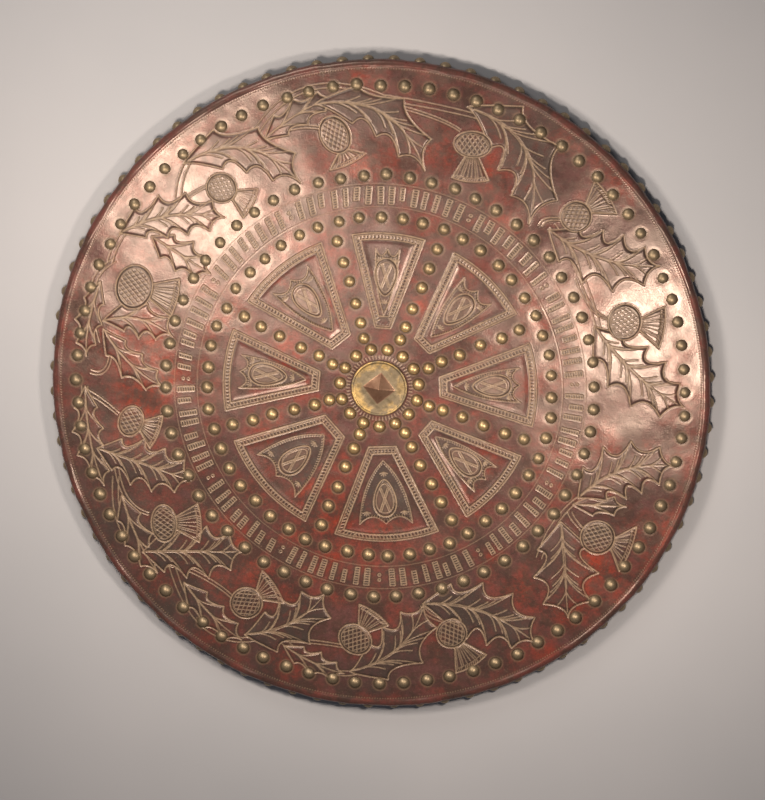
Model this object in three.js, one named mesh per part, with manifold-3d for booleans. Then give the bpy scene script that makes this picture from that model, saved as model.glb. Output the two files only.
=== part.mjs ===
// A round leather-faced shield of the Scottish kind, lying face up on its rim. Millimetres, +Z out of the face.
// The board is dished: everything on it is laid out flat first and then bent up towards the centre.
// Angles on the face run clockwise from the top (+Y), in degrees; "share" is a share of the leather's radius.
import * as THREE from "three";
import { mergeVertices } from "three/addons/utils/BufferGeometryUtils.js";
import Module from "manifold-3d";

// Driving dimensions
const leatherRadius = 255; // 20 in class shield
const boardThickness = 14; // wood, its leather cover and the hide on its back
const domeRise = 7; // the centre stands this much over the rim
const restRingWidth = 8; // flat ring under the rim that the shield lies on
const rimEdgeRound = 3; // the leather turns over the rim in a rounded edge
const reliefHeight = 0.8; // how far the tooled leaves and frames stand up
const petalHeight = 0.6; // the almond stands this much over its escutcheon

const nailHeadRadius = 4.65; // 3/8 in brass dome nails
const nailHeadHeight = 3.2;
const nailSink = 0.3; // a nail head is driven this far into the leather
const rimNailPitch = 20;
// Rings of nails; the first nail stands "phase" of a step clockwise from the top
const nailRings = [
  { share: 0.926, gap: 9.3, phase: 0.04 }, // outer ring
  { share: 0.653, gap: 8.8, phase: 0.29 }, // outside the inscribed band
  { share: 0.525, gap: 7.2, phase: 0.08 }, // inside the inscribed band
];
// Eight spokes of nails, set out by eye and so not quite evenly
const spokeAngles = [22.5, 66.5, 109.5, 152, 202.5, 254.5, 297, 344];
const spokeNails = { outerShare: 0.472, innerShare: 0.16, gap: 6.6 };

const plateRadius = 21.7; // brass disc at the centre
const plateThickness = 1.6;
const plateRimWidth = 1.4; // its turned-up bright edge
const plateRimHeight = 0.7;
const plateSides = 32;
const studHalfWidth = 12.4; // low four-sided stud, from its centre to a corner
const studHeight = 5.4;
const plateMargin = 4.2; // leather between the disc and the nails round it
const bossNailGap = 3.45;
const bossNailSides = 6;

const seatGap = 0.3; // between two pieces that touch
const strapThickness = 3;
const strapCorner = 8;
const armStrap = { x: -75, width: 55, length: 200 };
const handGrip = { x: 85, width: 32, length: 150 };
const strapSlack = 1.6; // a band hangs this far off the board at its middle

// Tooled ornament: thistles round the border, each with its bulb and its tuft
const thistles = [
  { angle: 350, share: 0.784, length: 0.118, width: 0.09, tuft: [352, 0.697], spread: 0.12 },
  { angle: 20.5, share: 0.799, length: 0.08, width: 0.114, tuft: [23, 0.699], spread: 0.11 },
  { angle: 48, share: 0.797, length: 0.094, width: 0.092, tuft: [49, 0.903], spread: 0.12 },
  { angle: 74, share: 0.771, length: 0.1, width: 0.11, tuft: [77, 0.876], spread: 0.13 },
  { angle: 124.5, share: 0.804, length: 0.104, width: 0.104, tuft: [123, 0.9], spread: 0.15 },
  { angle: 164, share: 0.795, length: 0.09, width: 0.094, tuft: [162, 0.903], spread: 0.11 },
  { angle: 185.5, share: 0.792, length: 0.09, width: 0.106, tuft: [181.5, 0.71], spread: 0.11 },
  { angle: 211, share: 0.795, length: 0.1, width: 0.096, tuft: [207.5, 0.709], spread: 0.12 },
  { angle: 236.5, share: 0.793, length: 0.078, width: 0.116, tuft: [232, 0.704], spread: 0.12 },
  { angle: 261, share: 0.77, length: 0.075, width: 0.096, tuft: [257.5, 0.699], spread: 0.11 },
  { angle: 291.5, share: 0.804, length: 0.112, width: 0.136, tuft: [293, 0.677], spread: 0.12 },
  { angle: 321.5, share: 0.772, length: 0.092, width: 0.09, tuft: [325, 0.683], spread: 0.1 },
];
// Holly-like leaves between them: base and tip as [angle, share], half width and bow as
// shares; a leaf with a positive bow bends to the left of the way from its base to its tip
const leaves = [
  { base: [18, 0.89], tip: [41.5, 0.68], half: 0.092, bow: 0.095, spikes: 3 },
  { base: [352.5, 0.879], tip: [11.5, 0.68], half: 0.056, bow: 0.064, spikes: 3 },
  { base: [47, 0.722], tip: [65.5, 0.929], half: 0.08, bow: -0.035, spikes: 3 },
  { base: [74, 0.69], tip: [93, 0.923], half: 0.084, bow: -0.025, spikes: 3 },
  { base: [118.5, 0.702], tip: [104.5, 0.919], half: 0.08, bow: 0.037, spikes: 3 },
  { base: [127, 0.692], tip: [142, 0.9], half: 0.09, bow: 0, spikes: 3 },
  { base: [167, 0.688], tip: [149, 0.92], half: 0.08, bow: 0.037, spikes: 3 },
  { base: [183, 0.884], tip: [168.5, 0.682], half: 0.06, bow: -0.043, spikes: 3 },
  { base: [203, 0.852], tip: [194.5, 0.664], half: 0.06, bow: -0.027, spikes: 2 },
  { base: [232, 0.894], tip: [219, 0.669], half: 0.066, bow: 0, spikes: 3 },
  { base: [254, 0.882], tip: [242.5, 0.65], half: 0.058, bow: 0, spikes: 3 },
  { base: [281, 0.859], tip: [269, 0.659], half: 0.036, bow: -0.02, spikes: 3 },
  { base: [301, 0.911], tip: [317.5, 0.697], half: 0.05, bow: 0.03, spikes: 3 },
  { base: [319.5, 0.89], tip: [339, 0.668], half: 0.052, bow: 0.077, spikes: 3 },
  { base: [282.5, 0.865], tip: [283, 0.648], half: 0.042, bow: 0.03, spikes: 2 },
  { base: [303, 0.828], tip: [303.5, 0.618], half: 0.05, bow: 0, spikes: 2 },
  { base: [120, 0.687], tip: [115.5, 0.824], half: 0.03, bow: 0, spikes: 2 },
];
// Eight panels between the spokes, each a raised frame round an escutcheon with an almond on it
const panel = { outerShare: 0.478, innerShare: 0.185, nailBand: 0.094, frameShare: 0.029 };
const escutcheon = { topShare: 0.43, pointShare: 0.225, margin: 0.02, dip: 0.03 };
const almond = { topShare: 0.392, pointShare: 0.285, halfWidth: 0.034 };

// Places worked out from those sizes
const restRingOuter = leatherRadius - rimEdgeRound - 2;
const restRingInner = restRingOuter - restRingWidth;
const rimNailCount = Math.round((2 * Math.PI * leatherRadius) / rimNailPitch);
const bossRingRadius = plateRadius + plateMargin + nailHeadRadius;
const underside = [0.33, 0.66].map((share) => share * restRingInner); // rings that follow the dome
const doubled = 2 * nailHeadRadius;
const countOn = (radius, gap) => Math.round((2 * Math.PI * radius) / (doubled + gap));
const domeAt = (radius) => domeRise * (1 - (radius / restRingInner) ** 2);

const wasm = await Module();
wasm.setup();

function toSolid(geometry) {
  const bare = geometry.index ? geometry.toNonIndexed() : geometry;
  bare.deleteAttribute("normal");
  bare.deleteAttribute("uv");
  const merged = mergeVertices(bare, 1e-4);
  return new wasm.Manifold(
    new wasm.Mesh({
      numProp: 3,
      vertProperties: merged.attributes.position.array,
      triVerts: new Uint32Array(merged.index.array),
    }),
  );
}

function toGeometry(solid) {
  const { numProp, numVert, vertProperties, triVerts } = solid.getMesh();
  const places = new Float32Array(numVert * 3);
  for (let i = 0; i < numVert; i++)
    places.set(vertProperties.subarray(i * numProp, i * numProp + 3), i * 3);
  return new THREE.BufferGeometry()
    .setAttribute("position", new THREE.BufferAttribute(places, 3))
    .setIndex(new THREE.BufferAttribute(new Uint32Array(triVerts), 1));
}

function join(solids) {
  return solids.reduce((all, one) => all.add(one));
}

// A point on the face, from its angle and its share of the radius
function onFace(angle, share) {
  const turn = THREE.MathUtils.degToRad(angle);
  return new THREE.Vector2(Math.sin(turn), Math.cos(turn)).multiplyScalar(share * leatherRadius);
}

// A flat outline raised from low to high
function prism(outline, low, high) {
  const shape = new THREE.Shape(outline);
  const block = new THREE.ExtrudeGeometry(shape, { depth: high - low, bevelEnabled: false });
  return toSolid(block.translate(0, 0, low));
}

const onLeather = (outline, height) =>
  prism(outline, boardThickness - reliefHeight, boardThickness + height);

function revolve(profile, sides) {
  const points = profile.map(([radius, height]) => new THREE.Vector2(radius, height));
  return new THREE.LatheGeometry(points, sides).rotateX(Math.PI / 2);
}

// The outline of a leaf: a curved midrib with spikes and hollows down each side
function leafOutline({ base, tip, half, bow, spikes }) {
  const from = onFace(...base);
  const to = onFace(...tip);
  const along = to.clone().sub(from);
  const across = new THREE.Vector2(-along.y, along.x).normalize();
  const middle = from.clone().lerp(to, 0.5).addScaledVector(across, 2 * bow * leatherRadius);
  const midrib = new THREE.QuadraticBezierCurve(from, middle, to);
  const edge = (side, share, width) => {
    const at = midrib.getPoint(share);
    const tangent = midrib.getTangent(share);
    const out = new THREE.Vector2(-tangent.y, tangent.x);
    const swell = Math.sin(Math.PI * (0.05 + share * 0.84)) ** 0.85; // narrow where the stem enters
    return at.addScaledVector(out, side * width * swell * half * leatherRadius);
  };
  const right = [];
  const left = [];
  for (let i = 0; i < spikes; i++) {
    const start = (i + 0.25) / (spikes + 0.5);
    const point = (i + 0.95) / (spikes + 0.5);
    right.push(edge(-1, start, 0.55), edge(-1, point, 1));
    left.push(edge(1, start, 0.55), edge(1, point, 1));
  }
  const neck = (spikes + 0.1) / (spikes + 0.5);
  return [
    from,
    ...right,
    edge(-1, neck, 0.35),
    to,
    edge(1, neck, 0.35),
    ...left.reverse(),
  ];
}

function thistleSolids({ angle, share, length, width, tuft, spread }) {
  const centre = onFace(angle, share);
  const end = onFace(...tuft);
  const along = end.clone().sub(centre).normalize();
  const across = new THREE.Vector2(-along.y, along.x);
  const at = (forward, side) =>
    centre
      .clone()
      .addScaledVector(along, forward * leatherRadius)
      .addScaledVector(across, side * leatherRadius);
  const bulb = Array.from({ length: 10 }, (_, i) => {
    const turn = (i / 10) * 2 * Math.PI;
    return at((Math.cos(turn) * length) / 2, (Math.sin(turn) * width) / 2);
  });
  const reach = end.distanceTo(centre) / leatherRadius;
  const neck = length * 0.44;
  const fan = [
    at(neck, -width * 0.2),
    at(reach, -spread / 2),
    at(reach + 0.008, 0),
    at(reach, spread / 2),
    at(neck, width * 0.2),
  ];
  return [onLeather(bulb, reliefHeight), onLeather(fan, reliefHeight * 0.75)];
}

// The two directions of a panel: out from the centre along its middle line, and across it
function panelAxes({ middle }) {
  const along = new THREE.Vector2(Math.sin(middle), Math.cos(middle));
  return [along, new THREE.Vector2(along.y, -along.x)];
}

// Half the angle that a panel spans at a radius: its sides run parallel to the spokes beside it
function panelReach({ sector }, radius, inset) {
  return sector - Math.asin(((panel.nailBand / 2 + inset) * leatherRadius) / radius);
}

// A panel's outline, brought in from its full size by inset
function panelOutline(place, inset) {
  const outer = (panel.outerShare - inset) * leatherRadius;
  // In a narrow panel the sides meet before the inner end, which then is only a short edge
  const meeting = ((panel.nailBand / 2 + inset) * leatherRadius) / Math.sin(place.sector);
  const inner = Math.max((panel.innerShare + inset) * leatherRadius, meeting * 1.08);
  const [along, across] = panelAxes(place);
  const at = (radius, turn) =>
    new THREE.Vector2()
      .addScaledVector(along, radius * Math.cos(turn))
      .addScaledVector(across, radius * Math.sin(turn));
  const wide = panelReach(place, outer, inset);
  const arc = [-1, -0.5, 0, 0.5, 1].map((share) => at(outer, share * wide));
  const narrow = panelReach(place, inner, inset);
  return [...arc, at(inner, narrow), at(inner, -narrow)];
}

function panelSolids(place) {
  const [along, across] = panelAxes(place);
  const at = (forward, side) =>
    new THREE.Vector2()
      .addScaledVector(along, forward * leatherRadius)
      .addScaledVector(across, side * leatherRadius);
  const frame = onLeather(panelOutline(place, 0), reliefHeight).subtract(
    prism(
      panelOutline(place, panel.frameShare),
      boardThickness,
      boardThickness + 2 * reliefHeight,
    ),
  );
  const { topShare, pointShare, margin, dip } = escutcheon;
  const corner = panelReach(place, topShare * leatherRadius, panel.frameShare + margin);
  const halfWidth = topShare * Math.sin(corner);
  const top = topShare * Math.cos(corner);
  const belly = pointShare + 0.42 * (top - pointShare);
  const shield = [
    at(top, -halfWidth),
    at(top - dip, -halfWidth / 2),
    at(top, 0),
    at(top - dip, halfWidth / 2),
    at(top, halfWidth),
    at(belly, halfWidth * 0.62),
    at(pointShare, 0),
    at(belly, -halfWidth * 0.62),
  ];
  const petal = Array.from({ length: 8 }, (_, i) => {
    const turn = (i / 8) * 2 * Math.PI;
    // Round towards the rim, pointed towards the boss
    const forward = THREE.MathUtils.lerp(
      almond.pointShare,
      almond.topShare,
      (1 + Math.cos(turn)) / 2,
    );
    return at(forward, Math.sin(turn) * almond.halfWidth * (0.92 + 0.24 * Math.cos(turn)));
  });
  return [frame, onLeather(shield, reliefHeight), onLeather(petal, reliefHeight + petalHeight)];
}

function nailHead(sides, turn) {
  return new THREE.ConeGeometry(nailHeadRadius, nailHeadHeight + nailSink, sides)
    .translate(0, (nailHeadHeight + nailSink) / 2 - nailSink, 0)
    .rotateX(Math.PI / 2)
    .rotateZ(-turn);
}

function faceNails() {
  const heads = [];
  const drive = (radius, turn) =>
    heads.push(
      toSolid(
        nailHead(6, turn).translate(
          radius * Math.sin(turn),
          radius * Math.cos(turn),
          boardThickness,
        ),
      ),
    );
  for (const { share, gap, phase } of nailRings) {
    const radius = share * leatherRadius;
    const count = countOn(radius, gap);
    for (let i = 0; i < count; i++) drive(radius, ((i + phase) / count) * 2 * Math.PI);
  }
  const { outerShare, innerShare, gap } = spokeNails;
  const reach = (outerShare - innerShare) * leatherRadius;
  const steps = Math.round(reach / (doubled + gap));
  for (const angle of spokeAngles)
    for (let j = 0; j <= steps; j++)
      drive(innerShare * leatherRadius + (j / steps) * reach, THREE.MathUtils.degToRad(angle));
  return heads;
}

// One nail in the middle of each of the board's straight sides
function rimNails() {
  const flat = leatherRadius * Math.cos(Math.PI / rimNailCount);
  return Array.from({ length: rimNailCount }, (_, i) =>
    toSolid(
      nailHead(4, Math.PI / 4)
        .rotateY(Math.PI / 2)
        .translate(flat, 0, boardThickness / 2)
        .rotateZ(((i + 0.5) / rimNailCount) * 2 * Math.PI),
    ),
  );
}

// Bends the flat layout over the dish; the ring that the shield lies on stays flat
function bend(geometry) {
  const places = geometry.attributes.position;
  for (let i = 0; i < places.count; i++) {
    const radius = Math.hypot(places.getX(i), places.getY(i));
    places.setZ(i, Math.max(0, places.getZ(i) + domeAt(radius)));
  }
  return geometry;
}

function boardGeometry() {
  const board = toSolid(
    revolve(
      [
        [0, 0],
        ...underside.map((radius) => [radius, 0]),
        [restRingInner, 0],
        [restRingOuter, 0],
        [leatherRadius, rimEdgeRound],
        [leatherRadius, boardThickness - rimEdgeRound],
        [leatherRadius - rimEdgeRound * 0.3, boardThickness - rimEdgeRound * 0.3],
        [leatherRadius - rimEdgeRound, boardThickness],
        [0, boardThickness],
      ],
      rimNailCount,
    ),
  );
  const panels = spokeAngles.map((angle, i) => {
    const turn = (spokeAngles[(i + 1) % spokeAngles.length] - angle + 360) % 360;
    const [start, span] = [angle, turn].map(THREE.MathUtils.degToRad);
    return panelSolids({ middle: start + span / 2, sector: span / 2 });
  });
  const tooling = [
    ...leaves.map((leaf) => onLeather(leafOutline(leaf), reliefHeight)),
    ...thistles.flatMap(thistleSolids),
    ...panels.flat(),
  ];
  return bend(toGeometry(join([board, ...tooling, ...faceNails(), ...rimNails()])));
}

function plateGeometry() {
  const disc = toSolid(
    revolve(
      [
        [0, 0],
        [plateRadius, 0],
        [plateRadius, plateThickness + plateRimHeight],
        [plateRadius - plateRimWidth, plateThickness + plateRimHeight],
        [plateRadius - 2 * plateRimWidth, plateThickness],
        [0, plateThickness],
      ],
      plateSides,
    ),
  );
  const stud = toSolid(
    new THREE.ConeGeometry(studHalfWidth, studHeight + plateThickness / 2, 4)
      .translate(0, (studHeight + plateThickness / 2) / 2, 0)
      .rotateX(Math.PI / 2)
      .translate(0, 0, plateThickness / 2),
  );
  return toGeometry(disc.add(stud));
}

function bossNailGeometry() {
  const shoulder = nailHeadRadius * Math.SQRT1_2;
  return toGeometry(
    toSolid(
      revolve(
        [
          [0, 0],
          [nailHeadRadius, 0],
          [nailHeadRadius * 0.92, nailHeadHeight * 0.45],
          [shoulder * 0.9, nailHeadHeight * 0.85],
          [0, nailHeadHeight],
        ],
        bossNailSides,
      ),
    ),
  );
}

// A leather band under the board, tight against it at both ends and a little slack between them
function strapGeometry({ x, width, length }) {
  const steps = 10;
  const facetSag = (domeRise * 0.34 ** 2) / 4; // the board's straight facets cut this far into its dome
  const rows = Array.from({ length: steps + 1 }, (_, i) => {
    const share = i / steps;
    const y = (share - 0.5) * length;
    const slack = strapSlack * Math.sin(Math.PI * share) ** 2;
    return [y, domeAt(Math.hypot(Math.abs(x) + width / 2, y)) - seatGap - facetSag - slack];
  });
  const side = new THREE.Shape([
    ...rows.map(([y, top]) => new THREE.Vector2(y, top - strapThickness)),
    ...rows.toReversed().map(([y, top]) => new THREE.Vector2(y, top)),
  ]);
  const band = toSolid(
    new THREE.ExtrudeGeometry(side, { depth: width, bevelEnabled: false })
      .rotateX(Math.PI / 2)
      .rotateZ(Math.PI / 2)
      .translate(x - width / 2, 0, 0),
  );
  const plan = new THREE.Shape();
  const corners = [
    [1, 1, 0],
    [-1, 1, Math.PI / 2],
    [-1, -1, Math.PI],
    [1, -1, 1.5 * Math.PI],
  ];
  for (const [right, up, start] of corners)
    plan.absarc(
      x + right * (width / 2 - strapCorner),
      up * (length / 2 - strapCorner),
      strapCorner,
      start,
      start + Math.PI / 2,
    );
  const stencil = new THREE.ExtrudeGeometry(plan, {
    depth: 2 * boardThickness,
    bevelEnabled: false,
    curveSegments: 4,
  }).translate(0, 0, -boardThickness);
  return toGeometry(band.intersect(toSolid(stencil)));
}

const leather = new THREE.MeshStandardMaterial({ color: 0x7a4036, roughness: 0.45, metalness: 0 });
const strapLeather = new THREE.MeshStandardMaterial({ color: 0x4a3226, roughness: 0.7, metalness: 0 });
const plateBrass = new THREE.MeshStandardMaterial({ color: 0x8a7440, roughness: 0.45, metalness: 1 });
const nailBrass = new THREE.MeshStandardMaterial({ color: 0xb49457, roughness: 0.3, metalness: 1 });

const shield = new THREE.Group();
const addPiece = (name, geometry, material, place = [0, 0, 0]) => {
  const piece = new THREE.Mesh(geometry, material);
  piece.name = name;
  piece.position.set(...place);
  shield.add(piece);
};

addPiece("leather_faced_board", boardGeometry(), leather);
addPiece("boss_plate", plateGeometry(), plateBrass, [
  0,
  0,
  boardThickness + domeAt(0) + seatGap,
]);
addPiece("arm_strap", strapGeometry(armStrap), strapLeather);
addPiece("hand_grip", strapGeometry(handGrip), strapLeather);

const bossNails = countOn(bossRingRadius, bossNailGap);
const bossNail = bossNailGeometry();
for (let i = 0; i < bossNails; i++) {
  const turn = ((i + 0.5) / bossNails) * 2 * Math.PI;
  addPiece(`boss_nail_${String(i + 1).padStart(2, "0")}`, bossNail, nailBrass, [
    bossRingRadius * Math.sin(turn),
    bossRingRadius * Math.cos(turn),
    boardThickness + domeAt(bossRingRadius - nailHeadRadius) + seatGap,
  ]);
}

export default shield;
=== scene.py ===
# Dresses a packed round shield: tooled and dyed leather, rolled rim, hide back, brass nails and boss.
# Sizes are in millimetres and turn into metres where a mesh is made. Angles on the face run clockwise
# from the top, in degrees, and a share is a share of the leather's radius. Lights are placed in metres.
import math

import bpy
import numpy as np
from mathutils import Matrix, Vector


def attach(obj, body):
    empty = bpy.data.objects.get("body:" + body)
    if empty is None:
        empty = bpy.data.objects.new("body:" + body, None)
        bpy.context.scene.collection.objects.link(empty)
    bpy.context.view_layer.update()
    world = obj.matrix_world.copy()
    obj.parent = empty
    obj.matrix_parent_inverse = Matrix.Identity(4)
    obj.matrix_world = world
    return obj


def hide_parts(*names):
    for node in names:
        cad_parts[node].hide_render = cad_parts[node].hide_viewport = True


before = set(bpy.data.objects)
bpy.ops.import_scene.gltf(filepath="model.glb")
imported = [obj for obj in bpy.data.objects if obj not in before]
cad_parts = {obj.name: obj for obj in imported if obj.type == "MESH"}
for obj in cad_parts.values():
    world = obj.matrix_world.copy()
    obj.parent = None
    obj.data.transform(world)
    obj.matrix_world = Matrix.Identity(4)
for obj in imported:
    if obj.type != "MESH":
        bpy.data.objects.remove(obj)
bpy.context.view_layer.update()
mm = 0.001
rng = np.random.default_rng(1688)  # hand-made unevenness, the same on every run

board = {
    "radius": 255,
    "thickness": 14,
    "domeRise": 7,
    "domeRadius": 242,  # outside it is the flat ring that the shield lies on
    "faceEdge": 251.5,  # the tooled face ends and the rolled rim starts
}
nails = {
    "headRadius": 4.65,
    "headHeight": 3.2,
    "sink": 0.3,
    "seat": 0.35,  # how far the leather gives under a head
    "rings": [  # phase: where the first nail stands, in steps from the top
        {"share": 0.926, "count": 80, "phase": 0.04},
        {"share": 0.653, "count": 58, "phase": 0.29},
        {"share": 0.525, "count": 51, "phase": 0.08},
    ],
    "spokes": [22.5, 66.5, 109.5, 152, 202.5, 254.5, 297, 344],
    "spokeShares": [0.16, 0.206, 0.267, 0.337, 0.402, 0.465],
    "rimCount": 80,
    "bossCount": 15,
    "bossRadius": 30.55,
    "wander": 0.8,  # how far a nail stands off its place
}


def turns(count, phase=0):
    # Angles evenly round a circle
    return (np.arange(count) + phase) / count * 2 * math.pi


def onFace(angle, share):
    turn = math.radians(angle)
    return np.array([math.sin(turn), math.cos(turn)]) * share * board["radius"]


def domeAt(radius):
    return board["domeRise"] * (1 - (radius / board["domeRadius"]) ** 2)


# Camera: the photo's own direction, from far off with a long lens
camera = {
    "right": (0.996, 0, -0.089),
    "up": (-0.0182, 0.979, -0.2037),
    "back": (0.087, 0.2045, 0.975),
    "distance": 6182,
    "lens": 360,
    "picture": (765, 800),
    "pixel": 0.7727,  # millimetres on the shield to one pixel of the picture
    "bossPixel": (379.5, 383.9),
    "bossHeight": 15.9,
    "rimShift": 2.6,  # the photo's rim lies this much lower round its nail rings, and the two share it
}


def placeCamera():
    right, up, back = (Vector(camera[k]).normalized() for k in ("right", "up", "back"))
    column, row = camera["bossPixel"]
    row += camera["rimShift"]
    aim = Vector((0, 0, camera["bossHeight"]))
    wide, high = camera["picture"]
    aim += (right * (wide / 2 - column) - up * (high / 2 - row)) * camera["pixel"]
    data = bpy.data.cameras.new("camera")
    data.lens = camera["lens"]
    data.sensor_width = 36
    data.clip_end = 50
    eye = bpy.data.objects.new("camera", data)
    bpy.context.scene.collection.objects.link(eye)
    spot = (aim + back * camera["distance"]) * mm
    turn = Matrix((right, up, back)).transposed().to_4x4()
    eye.matrix_world = Matrix.Translation(spot) @ turn
    bpy.context.scene.camera = eye


placeCamera()
bpy.context.scene.view_settings.view_transform = "Standard"


# Meshes and materials
def makeMesh(name, points, faces):
    mesh = bpy.data.meshes.new(name)
    points = np.asarray(points, float)
    mesh.vertices.add(len(points))
    mesh.vertices.foreach_set("co", (points * mm).astype(np.float32).ravel())
    sizes = np.array([len(face) for face in faces])
    corners = np.fromiter((corner for face in faces for corner in face), np.int32, sizes.sum())
    mesh.loops.add(len(corners))
    mesh.loops.foreach_set("vertex_index", corners)
    mesh.polygons.add(len(sizes))
    mesh.polygons.foreach_set("loop_start", np.concatenate([[0], np.cumsum(sizes)[:-1]]).astype(np.int32))
    mesh.update(calc_edges=True)
    mesh.validate()
    mesh.polygons.foreach_set("use_smooth", np.ones(len(sizes), bool))
    piece = bpy.data.objects.new(name, mesh)
    bpy.context.scene.collection.objects.link(piece)
    return piece


def addAttribute(piece, name, values):
    layer = piece.data.attributes.new(name, "FLOAT", "POINT")
    layer.data.foreach_set("value", np.asarray(values, np.float32))


def addNode(tree, kind, inputs=None, **settings):
    node = tree.nodes.new(kind)
    for key, value in settings.items():
        setattr(node, key, value)
    for key, value in (inputs or {}).items():
        if isinstance(value, bpy.types.NodeSocket):
            tree.links.new(value, node.inputs[key])
        else:
            node.inputs[key].default_value = value
    return node


class Finish:
    # A material with its Principled shader, and short ways to add the nodes that it needs
    def __init__(self, name, **constants):
        self.material = bpy.data.materials.new(name)
        self.material.use_nodes = True
        self.tree = self.material.node_tree
        self.shader = self.tree.nodes["Principled BSDF"]
        for key, value in constants.items():
            self.shader.inputs[key.replace("_", " ")].default_value = value
        self.place = addNode(self.tree, "ShaderNodeTexCoord").outputs["Object"]

    def noise(self, scale, detail, roughness, shift=None):
        spot = self.place
        if shift:
            spot = addNode(self.tree, "ShaderNodeMapping", {"Vector": spot, "Location": shift}).outputs[0]
        inputs = {"Vector": spot, "Scale": scale, "Detail": detail, "Roughness": roughness}
        return addNode(self.tree, "ShaderNodeTexNoise", inputs).outputs["Fac"]

    def attribute(self, name):
        return addNode(self.tree, "ShaderNodeAttribute", attribute_name=name).outputs["Fac"]

    def ramp(self, value, low, high, start=0.0, end=1.0):
        inputs = {"Value": value, 1: low, 2: high, 3: start, 4: end}
        return addNode(self.tree, "ShaderNodeMapRange", inputs).outputs[0]

    def math(self, operation, first, second):
        return addNode(self.tree, "ShaderNodeMath", {0: first, 1: second}, operation=operation).outputs[0]

    def blend(self, share, first, second):
        mix = addNode(self.tree, "ShaderNodeMix", data_type="RGBA")
        for socket, value in ((mix.inputs[0], share), (mix.inputs[6], first), (mix.inputs[7], second)):
            if isinstance(value, bpy.types.NodeSocket):
                self.tree.links.new(value, socket)
            else:
                socket.default_value = value if isinstance(value, float) else (*value, 1)
        return mix.outputs[2]

    def over(self, base, colour, pattern, low, high, most):
        # A colour laid over the base where a pattern is strong
        return self.blend(self.ramp(pattern, low, high, 0.0, most), base, colour)

    def feed(self, socket, value):
        self.tree.links.new(value, self.shader.inputs[socket])

    def bump(self, *layers):
        # Each layer is a height, its strength and its depth in millimetres
        normal = None
        for height, strength, depth in layers:
            inputs = {"Height": height, "Strength": strength, "Distance": depth * mm}
            if normal:
                inputs["Normal"] = normal
            normal = addNode(self.tree, "ShaderNodeBump", inputs).outputs[0]
        self.feed("Normal", normal)


# The face as flat sheets of numbers, one value to each quarter millimetre: heights and dyes
sheet = {"pitch": 0.25, "half": 253}
sheet["count"] = int(2 * sheet["half"] / sheet["pitch"])
sheetLine = (np.arange(sheet["count"]) + 0.5) * sheet["pitch"] - sheet["half"]


def blankSheet():
    return np.zeros((sheet["count"], sheet["count"]), np.float32)


def sheetIndex(value):
    return np.clip(((value + sheet["half"]) / sheet["pitch"]).astype(int), 0, sheet["count"] - 1)


def readSheet(values, x, y):
    # The value between the four nearest points
    column = np.clip((x + sheet["half"]) / sheet["pitch"] - 0.5, 0, sheet["count"] - 1.001)
    row = np.clip((y + sheet["half"]) / sheet["pitch"] - 0.5, 0, sheet["count"] - 1.001)
    c, r = column.astype(int), row.astype(int)
    u, v = column - c, row - r
    low = values[r, c] * (1 - u) + values[r, c + 1] * u
    high = values[r + 1, c] * (1 - u) + values[r + 1, c + 1] * u
    return low * (1 - v) + high * v


def spaced(line, step):
    # Points along a line, a step apart
    line = np.asarray(line, float)
    runs = np.concatenate([[0], np.cumsum(np.hypot(*np.diff(line, axis=0).T))])
    count = max(2, int(runs[-1] / step) + 1)
    at = np.linspace(0, runs[-1], count)
    return np.stack([np.interp(at, runs, line[:, 0]), np.interp(at, runs, line[:, 1])], 1)


def press(target, points, halfWidth, depth):
    # Presses a round tool into a sheet at each point; where two marks meet, the deeper counts
    reach = int(halfWidth / sheet["pitch"]) + 1
    steps = np.arange(-reach, reach + 1)
    stepX, stepY = (a.ravel() for a in np.meshgrid(steps, steps))
    flat = target.ravel()
    for start in range(0, len(points), 20000):
        x, y = points[start : start + 20000].T
        columns = np.clip(sheetIndex(x)[:, None] + stepX, 0, sheet["count"] - 1)
        rows = np.clip(sheetIndex(y)[:, None] + stepY, 0, sheet["count"] - 1)
        away = (sheetLine[columns] - x[:, None]) ** 2 + (sheetLine[rows] - y[:, None]) ** 2
        mark = depth * np.clip(1 - away / halfWidth**2, 0, 1)
        np.maximum.at(flat, (rows * sheet["count"] + columns).ravel(), mark.astype(np.float32).ravel())


def insideDepth(outline):
    # The part of the sheet round an outline, and how far each point there lies inside it
    margin = 2.0
    low, high = outline.min(0) - margin, outline.max(0) + margin
    (c0, r0), (c1, r1) = sheetIndex(low), sheetIndex(high) + 1
    x, y = np.meshgrid(sheetLine[c0:c1], sheetLine[r0:r1])
    nearest = np.full(x.shape, np.inf)
    inside = np.zeros(x.shape, bool)
    for (ax, ay), (bx, by) in zip(outline, np.roll(outline, -1, 0)):
        ex, ey = bx - ax, by - ay
        along = np.clip(((x - ax) * ex + (y - ay) * ey) / max(ex * ex + ey * ey, 1e-9), 0, 1)
        nearest = np.minimum(nearest, (x - ax - along * ex) ** 2 + (y - ay - along * ey) ** 2)
        if ay != by:
            inside ^= ((ay <= y) != (by <= y)) & (x < ax + (y - ay) * ex / ey)
    depth = np.sqrt(nearest)
    return (slice(r0, r1), slice(c0, c1)), np.where(inside, depth, -depth)


def smoothStep(value):
    value = np.clip(value, 0, 1)
    return value * value * (3 - 2 * value)


def softened(values, width):
    # A sheet blurred by a bell curve of this width
    pitch = np.fft.fftfreq(sheet["count"], sheet["pitch"])
    half = np.fft.rfftfreq(sheet["count"], sheet["pitch"])
    keep = np.exp(-2 * (math.pi * width) ** 2 * (pitch[:, None] ** 2 + half[None] ** 2))
    return np.fft.irfft2(np.fft.rfft2(values) * keep, values.shape).astype(np.float32)


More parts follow.
